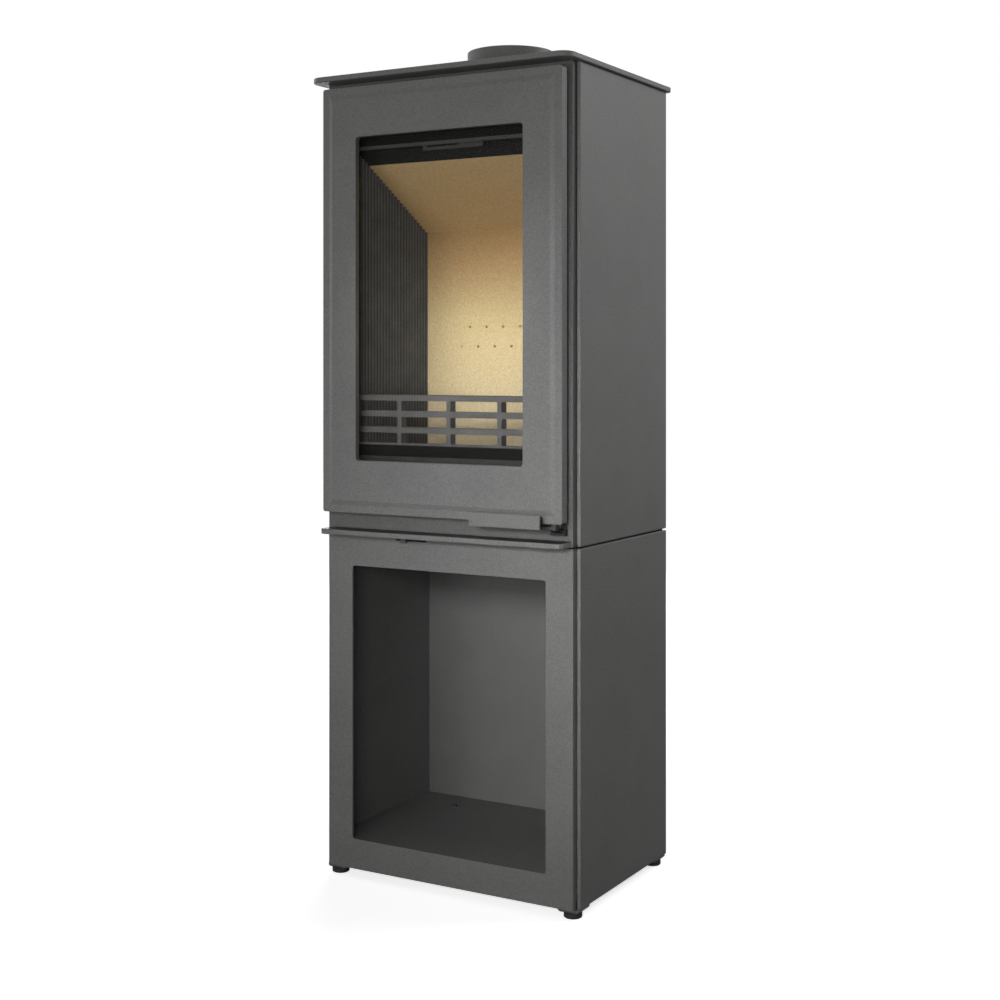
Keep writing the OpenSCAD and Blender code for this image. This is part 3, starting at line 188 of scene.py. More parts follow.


# Pressed vermiculite board: pale cream grains of 1 to 2 mm with golden mica flakes, matt,
# and tinted by height: on the rear board a painted shade, darker and browner towards its top, where the
# window's top edge shades it
def vermiculite(name, tints, low, high):
    material, tree, shader, coords = newFinish(name, "#f8ecd0", 0.9)
    shader.inputs["Specular IOR Level"].default_value = 0.2
    grains = addNode(tree, "ShaderNodeTexVoronoi", {"Scale": perMm(1.5), "Randomness": 1.0},
                     {"Vector": coords})
    grey = addNode(tree, "ShaderNodeRGBToBW", links={"Color": grains.outputs["Color"]})
    colour = addNode(tree, "ShaderNodeValToRGB", links={"Fac": grey.outputs["Val"]})
    rampStops(colour.color_ramp, [(0.0, "#e2d0ad"), (0.25, "#f1e1c0"), (0.5, "#f8ecd0"), (0.8, "#fdf5e0"),
                                  (1.0, "#fffdf3")])
    flakes = addNode(tree, "ShaderNodeTexVoronoi", {"Scale": perMm(4.5), "Randomness": 1.0},
                     {"Vector": coords})
    flakeMask = addNode(tree, "ShaderNodeMapRange",
                        {"From Min": 0.1, "From Max": 0.17, "To Min": 0.35, "To Max": 0.0},
                        {"Value": flakes.outputs["Distance"]})
    flecked = addNode(tree, "ShaderNodeMix", {7: hexToLinear("#b7976a")},
                      {0: flakeMask.outputs["Result"], 6: colour.outputs["Color"]}, data_type="RGBA")
    height = addNode(tree, "ShaderNodeSeparateXYZ", links={"Vector": coords})
    heightTone = addNode(tree, "ShaderNodeMapRange", {"From Min": low, "From Max": high},
                   {"Value": height.outputs["Z"]})
    tint = addNode(tree, "ShaderNodeValToRGB", links={"Fac": heightTone.outputs["Result"]})
    rampStops(tint.color_ramp, tints)
    toned = addNode(tree, "ShaderNodeMix", {0: 1.0}, {6: flecked.outputs[2], 7: tint.outputs["Color"]},
                    data_type="RGBA", blend_type="MULTIPLY")
    tree.links.new(toned.outputs[2], shader.inputs["Base Color"])
    bump = addNode(tree, "ShaderNodeBump", {"Strength": 0.35, "Distance": 0.0002},
                   {"Height": grains.outputs["Distance"]})
    tree.links.new(bump.outputs["Normal"], shader.inputs["Normal"])
    return material


# painted shade: darker and browner towards the board's top, where the window's top edge shades it
rearBoard = vermiculite("PressedVermiculite",
                        [(0.1, "#fff9e6"), (0.35, "#f6ebd0"), (0.6, "#f2e5c3"),
                         (0.85, "#e1c69f"), (1.0, "#caae86")],
                        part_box("rear_liner")[0].z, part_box("rear_liner")[1].z)
# a little warmer and darker towards its low edge
baffleBoard = vermiculite("PressedVermiculiteBaffle", [(0.0, "#f3d6ac"), (1.0, "#f6e2be")],
                          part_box("baffle")[0].z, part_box("baffle")[1].z)


# Clear glass ceramic, 4 mm: faint amber-grey tint, polished
def ceramicGlass():
    material, _, shader, _ = newFinish("ClearGlassCeramic", "#2c2b28", 0.03)
    shader.inputs["IOR"].default_value = 1.54
    shader.inputs["Specular IOR Level"].default_value = 0.1  # the lamps stay out of the pane
    shader.inputs["Alpha"].default_value = 0.1
    material.surface_render_method = "BLENDED"
    return material


# Braided or woven glass fibre: matt and soft, its 0.4 mm yarns drawn about twice as coarse
def fibre(name, colours, yarnMm):
    material, tree, shader, coords = newFinish(name, colours[1], 0.9)
    yarn = addNode(tree, "ShaderNodeTexNoise", {"Scale": perMm(yarnMm), "Detail": 3.0, "Roughness": 0.7},
                   {"Vector": coords})
    colour = addNode(tree, "ShaderNodeValToRGB", links={"Fac": yarn.outputs["Fac"]})
    rampStops(colour.color_ramp, [(0.3, colours[0]), (0.5, colours[1]), (0.7, colours[2])])
    tree.links.new(colour.outputs["Color"], shader.inputs["Base Color"])
    bump = addNode(tree, "ShaderNodeBump", {"Strength": 0.7, "Distance": 0.00015},
                   {"Height": yarn.outputs["Fac"]})
    tree.links.new(bump.outputs["Normal"], shader.inputs["Normal"])
    return material


# Rolled or turned steel under thin plating or black oxide: faintly clouded, with an uneven sheen.
# The clouds are drawn about four times as coarse as the real 0.5 mm ones.
def platedSteel(name, colours, roughness, metallic, cloudMm=2.0):
    material, tree, shader, coords = newFinish(name, colours[1], roughness, metallic)
    grain = addNode(tree, "ShaderNodeTexNoise", {"Scale": perMm(cloudMm), "Detail": 3.0, "Roughness": 0.6},
                    {"Vector": coords})
    colour = addNode(tree, "ShaderNodeValToRGB", links={"Fac": grain.outputs["Fac"]})
    rampStops(colour.color_ramp, [(0.3, colours[0]), (0.5, colours[1]), (0.7, colours[2])])
    tree.links.new(colour.outputs["Color"], shader.inputs["Base Color"])
    sheen = addNode(tree, "ShaderNodeMapRange", {"From Min": 0.3, "From Max": 0.7,
                                                 "To Min": roughness - 0.08, "To Max": roughness + 0.1},
                    {"Value": grain.outputs["Fac"]})
    tree.links.new(sheen.outputs["Result"], shader.inputs["Roughness"])
    return material


tarnishedZinc = platedSteel("HeatTarnishedZinc", ("#47464a", "#545355", "#616062"), 0.5, 1.0)
finishOfSlot = {
    "anthracite_paint": anthracitePaint,
    "black_heat_paint": blackPaint,
    "grey_cast_iron": castIron("SandCastIron", ("#373737", "#404040", "#4b4a49"), 0.2),
    "vermiculite_board": rearBoard,
    "glass_ceramic": ceramicGlass(),
    "glass_fibre_rope": fibre("GraphiteGlassFibreRope", ("#2e2d2b", "#3d3b38", "#55524d"), 0.8),
    "glass_fibre_tape": fibre("WovenGlassTape", ("#8d877a", "#a59f92", "#bab5a8"), 0.7),
    "zinc_plated_steel": platedSteel("ZincPlatedSteel", ("#8f9094", "#a6a7aa", "#b9babc"), 0.38, 1.0),
    "blackened_screw_steel": platedSteel("BlackOxideScrewSteel", ("#2a2a2b", "#343435", "#3e3e3f"),
                                         0.42, 0.6),
    "blackened_steel": platedSteel("OiledBlackOxideSteel", ("#161617", "#1f1f20", "#2a2a2b"), 0.4, 0.5),
    "black_foot_steel": footPaint,
}
print("finishes made:", len(finishOfSlot))


# Pieces that take over a CAD part's shape
def titleOf(node):
    return "".join(word.capitalize() for word in node.split("_"))


def addPiece(node, mesh, finish=None):
    slotName = slotOfNode[node]
    mesh.materials.clear()
    mesh.materials.append(finish or finishOfSlot[slotName])
    piece = bpy.data.objects.new(titleOf(node), mesh)
    bpy.context.scene.collection.objects.link(piece)
    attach(piece, bodyOfNode[node])
    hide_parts(node)
    return piece


weldGap = 2e-6  # in m: corners closer than this are one
flatWithin = math.radians(0.4)  # faces that meet at less than this become one
creaseDegrees = 38  # edges that turn by more than this stay hard, and are rounded


def weldedMesh(node):
    shape = bmesh.new()
    shape.from_mesh(nodes[node].data)
    bmesh.ops.remove_doubles(shape, verts=shape.verts, dist=weldGap)
    bmesh.ops.dissolve_limit(shape, angle_limit=flatWithin, verts=shape.verts, edges=shape.edges)
    mesh = bpy.data.meshes.new(titleOf(node))
    shape.to_mesh(mesh)
    shape.free()
    return mesh


def smoothButCreased(mesh, crease=creaseDegrees):
    mesh.shade_smooth()
    mesh.set_sharp_from_angle(angle=math.radians(crease))


def roundedPiece(node, widthMm, finish=None, segments=2, crease=creaseDegrees):
    mesh = weldedMesh(node)
    smoothButCreased(mesh, crease)
    piece = addPiece(node, mesh, finish)
    bevel = piece.modifiers.new("RoundedEdges", "BEVEL")
    bevel.width = widthMm / 1000
    bevel.segments = segments
    bevel.limit_method = "ANGLE"
    bevel.angle_limit = math.radians(crease)
    bevel.use_clamp_overlap = True
    bevel.harden_normals = True
    return piece


edgeWidths = {  # rounding of each part's edges, in mm
    "top_plate": 1.6, "base_front": 0.9,
    "body_left_side": 1.5, "body_right_side": 1.5, "base_left_side": 1.5, "base_right_side": 1.5,
    "handle_plate": 0.5, "flue_collar": 1.0, "foot_plates": 0.8,
    "base_back": 0.4, "body_back": 0.4, "log_floor": 0.4, "joint_plate": 0.4, "body_floor": 0.4,
    "rear_cover": 0.6, "firebox_shell": 0.6, "smoke_chamber": 0.4, "firebox_top": 0.6,
    "rear_blanking_plate": 0.6, "air_box": 0.4, "secondary_duct": 0.4, "air_slider": 0.4,
    "rear_liner": 0.9, "smoke_plate": 0.5, "hearth_plate": 0.9,
    "ash_pan": 0.3, "hinge_brackets": 0.5, "hinge_pins": 0.4,
    "latch_keeper": 0.4, "glass_gasket": 0.2, "door_glass": 0.4,
    "latch_lever": 0.4, "latch_cam": 0.3, "latch_pivot": 0.3,
}

for name, width in edgeWidths.items():
    roundedPiece(name, width)
roundedPiece("body_front", 0.9, frontPlateShadePaint)
roundedPiece("ledge", 1.4, ledgePaint)
roundedPiece("door_frame", 0.7, crease=12)  # the raised field's slope is only 16 degrees
roundedPiece("air_wash_deflector", 0.4, deflectorPaint)
roundedPiece("baffle", 1.2, baffleBoard)
roundedPiece("air_lever", 0.4, tarnishedZinc)
roundedPiece("glass_clips", 0.3, tarnishedZinc)
print("plates, castings and boards rounded")


def newTree(name, inputs):
    tree = bpy.data.node_groups.new(name, "GeometryNodeTree")
    face = tree.interface
    face.new_socket("Geometry", in_out="INPUT", socket_type="NodeSocketGeometry")
    for label, kind, value in inputs:
        face.new_socket(label, in_out="INPUT", socket_type="NodeSocket" + kind).default_value = value
    face.new_socket("Finish", in_out="INPUT", socket_type="NodeSocketMaterial")
    face.new_socket("Geometry", in_out="OUTPUT", socket_type="NodeSocketGeometry")
    start = tree.nodes.new("NodeGroupInput").outputs
    return tree, start


def endTree(tree, start, geometry):
    whole = addNode(tree, "GeometryNodeRealizeInstances", links={"Geometry": geometry})
    painted = addNode(tree, "GeometryNodeSetMaterial", links={"Geometry": whole.outputs[0],
                                                              "Material": start["Finish"]})
    addNode(tree, "NodeGroupOutput", links={"Geometry": painted.outputs[0]})
    return tree


def growMesh(title, tree, values, finish, points=((0, 0, 0),)):
    seed = bpy.data.meshes.new(title + "Places")
    seed.from_pydata([tuple(point) for point in points], [], [])
    carrier = bpy.data.objects.new(title + "Carrier", seed)
    bpy.context.scene.collection.objects.link(carrier)
    modifier = carrier.modifiers.new("Tree", "NODES")
    modifier.node_group = tree
    for item in tree.interface.items_tree:
        if item.item_type == "SOCKET" and item.in_out == "INPUT" and item.name in values:
            modifier[item.identifier] = values[item.name]
        elif item.item_type == "SOCKET" and item.in_out == "INPUT" and item.name == "Finish":
            modifier[item.identifier] = finish
    graph = bpy.context.evaluated_depsgraph_get()
    mesh = bpy.data.meshes.new_from_object(carrier.evaluated_get(graph))
    mesh.name = title
    carrier.modifiers.clear()
    bpy.data.objects.remove(carrier)
    return mesh


def islandBoxes(node):  # lowest and highest corner of each separate solid of a CAD node
    shape = bmesh.new()
    shape.from_mesh(nodes[node].data)
    bmesh.ops.remove_doubles(shape, verts=shape.verts, dist=weldGap)
    left, boxes = set(shape.verts), []
    while left:
        todo, island = [left.pop()], []
        while todo:
            vert = todo.pop()
            island.append(vert.co.copy())
            for edge in vert.link_edges:
                other = edge.other_vert(vert)
                if other in left:
                    left.discard(other)
                    todo.append(other)
        boxes.append((Vector([min(c[i] for c in island) for i in range(3)]),
                      Vector([max(c[i] for c in island) for i in range(3)])))
    shape.free()
    return sorted(boxes, key=lambda box: tuple(box[0]))  # the same order each run


# Screw with a round chamfered head and a hexagonal socket, or a hexagon head, or a nut,
# set on every point of the incoming mesh
def screwTree():
    tree, start = newTree("ScrewOnPoints", [
        ("Head Radius", "Float", 0.004), ("Head Height", "Float", 0.002), ("Head Sides", "Int", 40),
        ("Chamfer", "Float", 0.7), ("Socket Radius", "Float", 0.0015), ("Socket Sides", "Int", 6),
        ("Socket Depth", "Float", 0.001), ("Shank Radius", "Float", 0.002), ("Shank Length", "Float", 0.01),
        ("Turn", "Vector", (0, 0, 0))])
    crownShare = 0.4  # of the head's height; the straight drum below it takes the rest
    low = addNode(tree, "ShaderNodeMath", {1: 1 - crownShare}, {0: start["Head Height"]},
                  operation="MULTIPLY")
    rest = addNode(tree, "ShaderNodeMath", {1: crownShare}, {0: start["Head Height"]}, operation="MULTIPLY")
    topRadius = addNode(tree, "ShaderNodeMath", links={0: start["Head Radius"], 1: start["Chamfer"]},
                        operation="MULTIPLY")
    drum = addNode(tree, "GeometryNodeMeshCone", links={
        "Vertices": start["Head Sides"], "Radius Top": start["Head Radius"],
        "Radius Bottom": start["Head Radius"], "Depth": low.outputs[0]})
    crown = addNode(tree, "GeometryNodeMeshCone", links={
        "Vertices": start["Head Sides"], "Radius Top": topRadius.outputs[0],
        "Radius Bottom": start["Head Radius"], "Depth": rest.outputs[0]})
    lift = addNode(tree, "ShaderNodeCombineXYZ", links={"Z": low.outputs[0]})
    crown = addNode(tree, "GeometryNodeTransform", links={"Geometry": crown.outputs["Mesh"],
                                                          "Translation": lift.outputs[0]})
    head = addNode(tree, "GeometryNodeMeshBoolean", operation="UNION", solver="EXACT")
    tree.links.new(drum.outputs["Mesh"], head.inputs["Mesh 2"])
    tree.links.new(crown.outputs[0], head.inputs["Mesh 2"])
    drillLength = 0.1  # in m, far longer than any head
    drill = addNode(tree, "GeometryNodeMeshCylinder", {"Depth": drillLength}, {
        "Vertices": start["Socket Sides"], "Radius": start["Socket Radius"]})
    floor = addNode(tree, "ShaderNodeMath", links={0: start["Head Height"], 1: start["Socket Depth"]},
                    operation="SUBTRACT")
    floor = addNode(tree, "ShaderNodeMath", {1: drillLength / 2}, {0: floor.outputs[0]}, operation="ADD")
    floor = addNode(tree, "ShaderNodeCombineXYZ", links={"Z": floor.outputs[0]})
    drill = addNode(tree, "GeometryNodeTransform", links={"Geometry": drill.outputs["Mesh"],
                                                          "Translation": floor.outputs[0]})
    cut = addNode(tree, "GeometryNodeMeshBoolean", links={"Mesh 1": head.outputs["Mesh"]},
                  operation="DIFFERENCE", solver="EXACT")
    tree.links.new(drill.outputs[0], cut.inputs["Mesh 2"])
    shank = addNode(tree, "GeometryNodeMeshCylinder", {"Vertices": 24}, {
        "Radius": start["Shank Radius"], "Depth": start["Shank Length"]})
    drop = addNode(tree, "ShaderNodeMath", {1: -0.5}, {0: start["Shank Length"]}, operation="MULTIPLY")
    drop = addNode(tree, "ShaderNodeCombineXYZ", links={"Z": drop.outputs[0]})
    shank = addNode(tree, "GeometryNodeTransform", links={"Geometry": shank.outputs["Mesh"],
                                                          "Translation": drop.outputs[0]})
    both = addNode(tree, "GeometryNodeJoinGeometry")
    tree.links.new(cut.outputs["Mesh"], both.inputs[0])
    tree.links.new(shank.outputs[0], both.inputs[0])
    spin = addNode(tree, "FunctionNodeEulerToRotation", links={"Euler": start["Turn"]})
    placed = addNode(tree, "GeometryNodeInstanceOnPoints", links={
        "Points": start["Geometry"], "Instance": both.outputs[0], "Rotation": spin.outputs[0]})
    return endTree(tree, start, placed.outputs["Instances"])


screws = screwTree()
upright, facingDown = (0, 0, 0), (math.pi, 0, 0)
facingRear, facingFront = (-math.pi / 2, 0, 0), (math.pi / 2, 0, 0)

screwKinds = {  # sizes in mm; a nut's bore is a round socket that goes right through it
    "floor_screws": {"head": 4.5, "height": 2.6, "socket": 1.9, "depth": 1.6, "shank": 2.45,
                     "turn": upright},
    "rear_cover_screws": {"head": 3.8, "height": 2.0, "socket": 1.6, "depth": 1.2, "shank": 1.95,
                          "turn": facingRear},
    "keeper_screws": {"head": 2.2, "height": 1.4, "socket": 0.95, "depth": 0.85, "shank": 0.6,
                      "turn": facingFront},
    "clip_screws": {"head": 3.6, "height": 2.0, "socket": 1.5, "depth": 1.2, "shank": 1.95,
                    "turn": facingRear},
    "handle_screws": {"head": 2.8, "height": 1.8, "socket": 1.2, "depth": 1.1, "shank": 1.45,
                      "turn": facingRear},
    "collar_bolts": {"head": 5.8, "height": 4.0, "sides": 6, "chamfer": 0.88, "socket": 0.0, "depth": 0.0,
                     "shank": 2.95, "turn": upright},
    "joining_bolts": {"head": 7.2, "height": 5.3, "sides": 6, "chamfer": 0.88, "socket": 0.0, "depth": 0.0,
                      "shank": 3.95, "turn": upright},
    "joining_nuts": {"head": 7.2, "height": 6.5, "sides": 6, "chamfer": 0.9, "socket": 4.05,
                     "socketSides": 32, "depth": 7.5, "shank": 0.0, "turn": facingDown},
    "foot_nuts": {"head": 7.5, "height": 6.5, "sides": 6, "chamfer": 0.9, "socket": 4.05,
                  "socketSides": 32, "depth": 7.5, "shank": 0.0, "turn": upright},
}


def headSeats(node, turn, height):  # where the underside of each head sits
    seats = []
    for low, high in islandBoxes(node):
        seat = (low + high) / 2
        if turn == upright:
            seat.z = high.z - height
        elif turn == facingDown:
            seat.z = low.z + height
        elif turn == facingRear:
            seat.y = high.y - height
        else:
            seat.y = low.y + height
        seats.append(seat)
    return seats


plainHead = {"sides": 40, "chamfer": 0.74, "socketSides": 6}  # where a kind doesn't say
tiny = 1e-5  # in m: stands for a socket or shank that a kind doesn't have
for name, ownSettings in screwKinds.items():
    kind = plainHead | ownSettings
    metres = inMetres(kind)
    low, high = islandBoxes(name)[0]
    tall = high.z - low.z if kind["turn"] in (upright, facingDown) else high.y - low.y
    values = {
        "Head Radius": metres["head"], "Head Height": metres["height"], "Head Sides": kind["sides"],
        "Chamfer": kind["chamfer"], "Socket Radius": max(metres["socket"], tiny),
        "Socket Sides": kind["socketSides"], "Socket Depth": max(metres["depth"], tiny),
        "Shank Radius": max(metres["shank"], tiny), "Shank Length": max(tall - metres["height"], tiny),
        "Turn": kind["turn"]}
    finish = tarnishedZinc if name in ("clip_screws", "floor_screws") else finishOfSlot[slotOfNode[name]]
    mesh = growMesh(titleOf(name), screws, values, finish, headSeats(name, kind["turn"], metres["height"]))
    smoothButCreased(mesh, 30)
    addPiece(name, mesh, finish)
print("screws, bolts and nuts made")


# cast side liners: a plate whose inner face has upright flutes and a rebate for the guard
linerSizes = {"pitchMm": 8.0, "radiusMm": 3.2, "depthMm": 2.4, "firstMm": 4.5,
              "stepMm": 0.4, "rebateDepthMm": 6.0, "rebateLengthMm": 14.3, "guardGapMm": 0.3}


def linerTree():
    tree, start = newTree("FlutedLiner", [
        ("Length", "Float", 0.18), ("Columns", "Int", 300), ("Front Top", "Float", 0.4),
        ("Rear Top", "Float", 0.35), ("Thickness", "Float", 0.014), ("Pitch", "Float", 0.008),
        ("Flute Radius", "Float", 0.0032), ("Flute Depth", "Float", 0.0024), ("First Flute", "Float", 0.0045),
        ("Rebate Depth", "Float", 0.006), ("Rebate Length", "Float", 0.0143), ("Rebate Top", "Float", 0.1),
        ("Corner", "Vector", (0, 0, 0)), ("Side", "Float", 1.0)])
    sheet = addNode(tree, "GeometryNodeMeshGrid", {"Size X": 1.0, "Size Y": 1.0, "Vertices Y": 4},
                    {"Vertices X": start["Columns"]})
    spot = addNode(tree, "GeometryNodeInputPosition")
    spot = addNode(tree, "ShaderNodeSeparateXYZ", links={"Vector": spot.outputs[0]})
    along = addNode(tree, "ShaderNodeMath", {1: 0.5}, {0: spot.outputs["X"]}, operation="ADD").outputs[0]
    up = addNode(tree, "ShaderNodeMath", {1: 0.5}, {0: spot.outputs["Y"]}, operation="ADD").outputs[0]
    y = addNode(tree, "ShaderNodeMath", links={0: along, 1: start["Length"]}, operation="MULTIPLY").outputs[0]

    # depth of the flute at y: an arc round the nearest flute's middle
    past = addNode(tree, "ShaderNodeMath", links={0: y, 1: start["First Flute"]}, operation="SUBTRACT")
    half = addNode(tree, "ShaderNodeMath", {1: 0.5}, {0: start["Pitch"]}, operation="MULTIPLY")
    away = addNode(tree, "ShaderNodeMath", links={0: past.outputs[0], 1: half.outputs[0]},
                   operation="PINGPONG")
    away = addNode(tree, "ShaderNodeMath", {1: 2.0}, {0: away.outputs[0]}, operation="POWER")
    round2 = addNode(tree, "ShaderNodeMath", {1: 2.0}, {0: start["Flute Radius"]}, operation="POWER")
    arc = addNode(tree, "ShaderNodeMath", links={0: round2.outputs[0], 1: away.outputs[0]},
                  operation="SUBTRACT")
    arc = addNode(tree, "ShaderNodeMath", {1: 0.0}, {0: arc.outputs[0]}, operation="MAXIMUM")
    arc = addNode(tree, "ShaderNodeMath", links={0: arc.outputs[0]}, operation="SQRT")
    land = addNode(tree, "ShaderNodeMath", links={0: start["Flute Radius"], 1: start["Flute Depth"]},
                   operation="SUBTRACT")
    flute = addNode(tree, "ShaderNodeMath", links={0: arc.outputs[0], 1: land.outputs[0]},
                    operation="SUBTRACT")

    # four rows, at 0, 1/3, 2/3 and 1 of up: the foot, both sides of the rebate's upper edge,
    # and the sloping top
    edgeHigh = 0.0002  # in m
    low = addNode(tree, "ShaderNodeMapRange", {"From Max": 0.333},
                  {"Value": up, "To Max": start["Rebate Top"]})
    edge = addNode(tree, "ShaderNodeMapRange", {"From Min": 0.334, "From Max": 0.666, "To Max": edgeHigh},
                   {"Value": up})
    top = addNode(tree, "ShaderNodeMapRange", links={"Value": along, "To Min": start["Front Top"],
                                                     "To Max": start["Rear Top"]})
    left = addNode(tree, "ShaderNodeMath", links={0: top.outputs[0], 1: start["Rebate Top"]},
                   operation="SUBTRACT")
    left = addNode(tree, "ShaderNodeMath", {1: edgeHigh}, {0: left.outputs[0]}, operation="SUBTRACT")
    high = addNode(tree, "ShaderNodeMapRange", {"From Min": 0.667}, {"Value": up, "To Max": left.outputs[0]})
    z = addNode(tree, "ShaderNodeMath", links={0: low.outputs[0], 1: edge.outputs[0]}, operation="ADD")
    z = addNode(tree, "ShaderNodeMath", links={0: z.outputs[0], 1: high.outputs[0]},
                operation="ADD").outputs[0]

    # the guard's rebate is cut in wherever y and z are both inside it
    inLength = addNode(tree, "ShaderNodeMath", links={0: y, 1: start["Rebate Length"]}, operation="LESS_THAN")
    lip = addNode(tree, "ShaderNodeMath", {1: edgeHigh / 2}, {0: start["Rebate Top"]}, operation="ADD")
    inHeight = addNode(tree, "ShaderNodeMath", links={0: z, 1: lip.outputs[0]}, operation="LESS_THAN")
    inside = addNode(tree, "ShaderNodeMath", links={0: inLength.outputs[0], 1: inHeight.outputs[0]},
                     operation="MULTIPLY")
    rebate = addNode(tree, "ShaderNodeMath", links={0: inside.outputs[0], 1: start["Rebate Depth"]},
                     operation="MULTIPLY")
    x = addNode(tree, "ShaderNodeMath", links={0: flute.outputs[0], 1: rebate.outputs[0]},
                operation="MAXIMUM")
    x = addNode(tree, "ShaderNodeMath", {1: 0.0}, {0: x.outputs[0]}, operation="MAXIMUM")
    place = addNode(tree, "ShaderNodeCombineXYZ", links={"X": x.outputs[0], "Y": y, "Z": z})
    face = addNode(tree, "GeometryNodeSetPosition", links={"Geometry": sheet.outputs["Mesh"],
                                                           "Position": place.outputs[0]})

    # close it to a plate of even thickness
    outwards = addNode(tree, "ShaderNodeCombineXYZ", {"X": 1.0})
    grown = addNode(tree, "GeometryNodeExtrudeMesh", {"Individual": False}, {
        "Mesh": face.outputs[0], "Offset": outwards.outputs[0], "Offset Scale": start["Thickness"]})
    spot = addNode(tree, "GeometryNodeInputPosition")
    spot = addNode(tree, "ShaderNodeSeparateXYZ", links={"Vector": spot.outputs[0]})
    spot = addNode(tree, "ShaderNodeCombineXYZ", links={"X": start["Thickness"], "Y": spot.outputs["Y"],
                                                        "Z": spot.outputs["Z"]})
    back = addNode(tree, "GeometryNodeSetPosition", links={
        "Geometry": grown.outputs["Mesh"], "Selection": grown.outputs["Top"], "Position": spot.outputs[0]})
    turned = addNode(tree, "GeometryNodeFlipFaces", links={"Mesh": face.outputs[0]})
    closed = addNode(tree, "GeometryNodeJoinGeometry")
    tree.links.new(back.outputs[0], closed.inputs[0])
    tree.links.new(turned.outputs[0], closed.inputs[0])
    closed = addNode(tree, "GeometryNodeMergeByDistance", {"Distance": 1e-6}, {"Geometry": closed.outputs[0]})
    scale = addNode(tree, "ShaderNodeCombineXYZ", {"Y": 1.0, "Z": 1.0}, {"X": start["Side"]})
    placed = addNode(tree, "GeometryNodeTransform", links={
        "Geometry": closed.outputs[0], "Scale": scale.outputs[0], "Translation": start["Corner"]})
    return endTree(tree, start, placed.outputs[0])


def facedOutwards(mesh):
    shape = bmesh.new()
    shape.from_mesh(mesh)
    bmesh.ops.recalc_face_normals(shape, faces=shape.faces)
    shape.to_mesh(mesh)
    shape.free()


liner = linerTree()
# darker deep in the flutes: painted shade
flutedIron = castIron("FlutedCastIron", ("#5f5f5d", "#6b6b69", "#777775"), 0.2,
                      fluteFace=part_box("right_liner")[0].x)
metres = inMetres(linerSizes)
for name, side in (("left_liner", -1.0), ("right_liner", 1.0)):
    low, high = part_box(name)
    nearRear = high.y - 0.0002  # 0.2 mm in from the rear face
    rearTop = max(v.co.z for v in nodes[name].data.vertices if v.co.y > nearRear)
    length = high.y - low.y
    mesh = growMesh(titleOf(name), liner, {
        "Length": length, "Columns": int(round(length / metres["step"])) + 1,
        "Front Top": high.z - low.z, "Rear Top": rearTop - low.z, "Thickness": high.x - low.x,
        "Pitch": metres["pitch"], "Flute Radius": metres["radius"], "Flute Depth": metres["depth"],
        "First Flute": metres["first"], "Rebate Depth": metres["rebateDepth"],
        "Rebate Length": metres["rebateLength"],
        "Rebate Top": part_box("log_guard")[1].z - low.z + metres["guardGap"],
        "Corner": (high.x if side < 0 else low.x, low.y, low.z), "Side": side}, flutedIron)
    facedOutwards(mesh)
    smoothButCreased(mesh, 34)
    addPiece(name, mesh, flutedIron)
print("fluted liners made")


# braided rope seal behind the door: eight yarns wound both ways round a core
ropeSizes = {"strands": 8, "strandMm": 1.25, "coreMm": 3.5, "turnMm": 26.0, "pointsPerTurn": 10,
             "cornerMm": 14.0, "liftMm": 0.35}


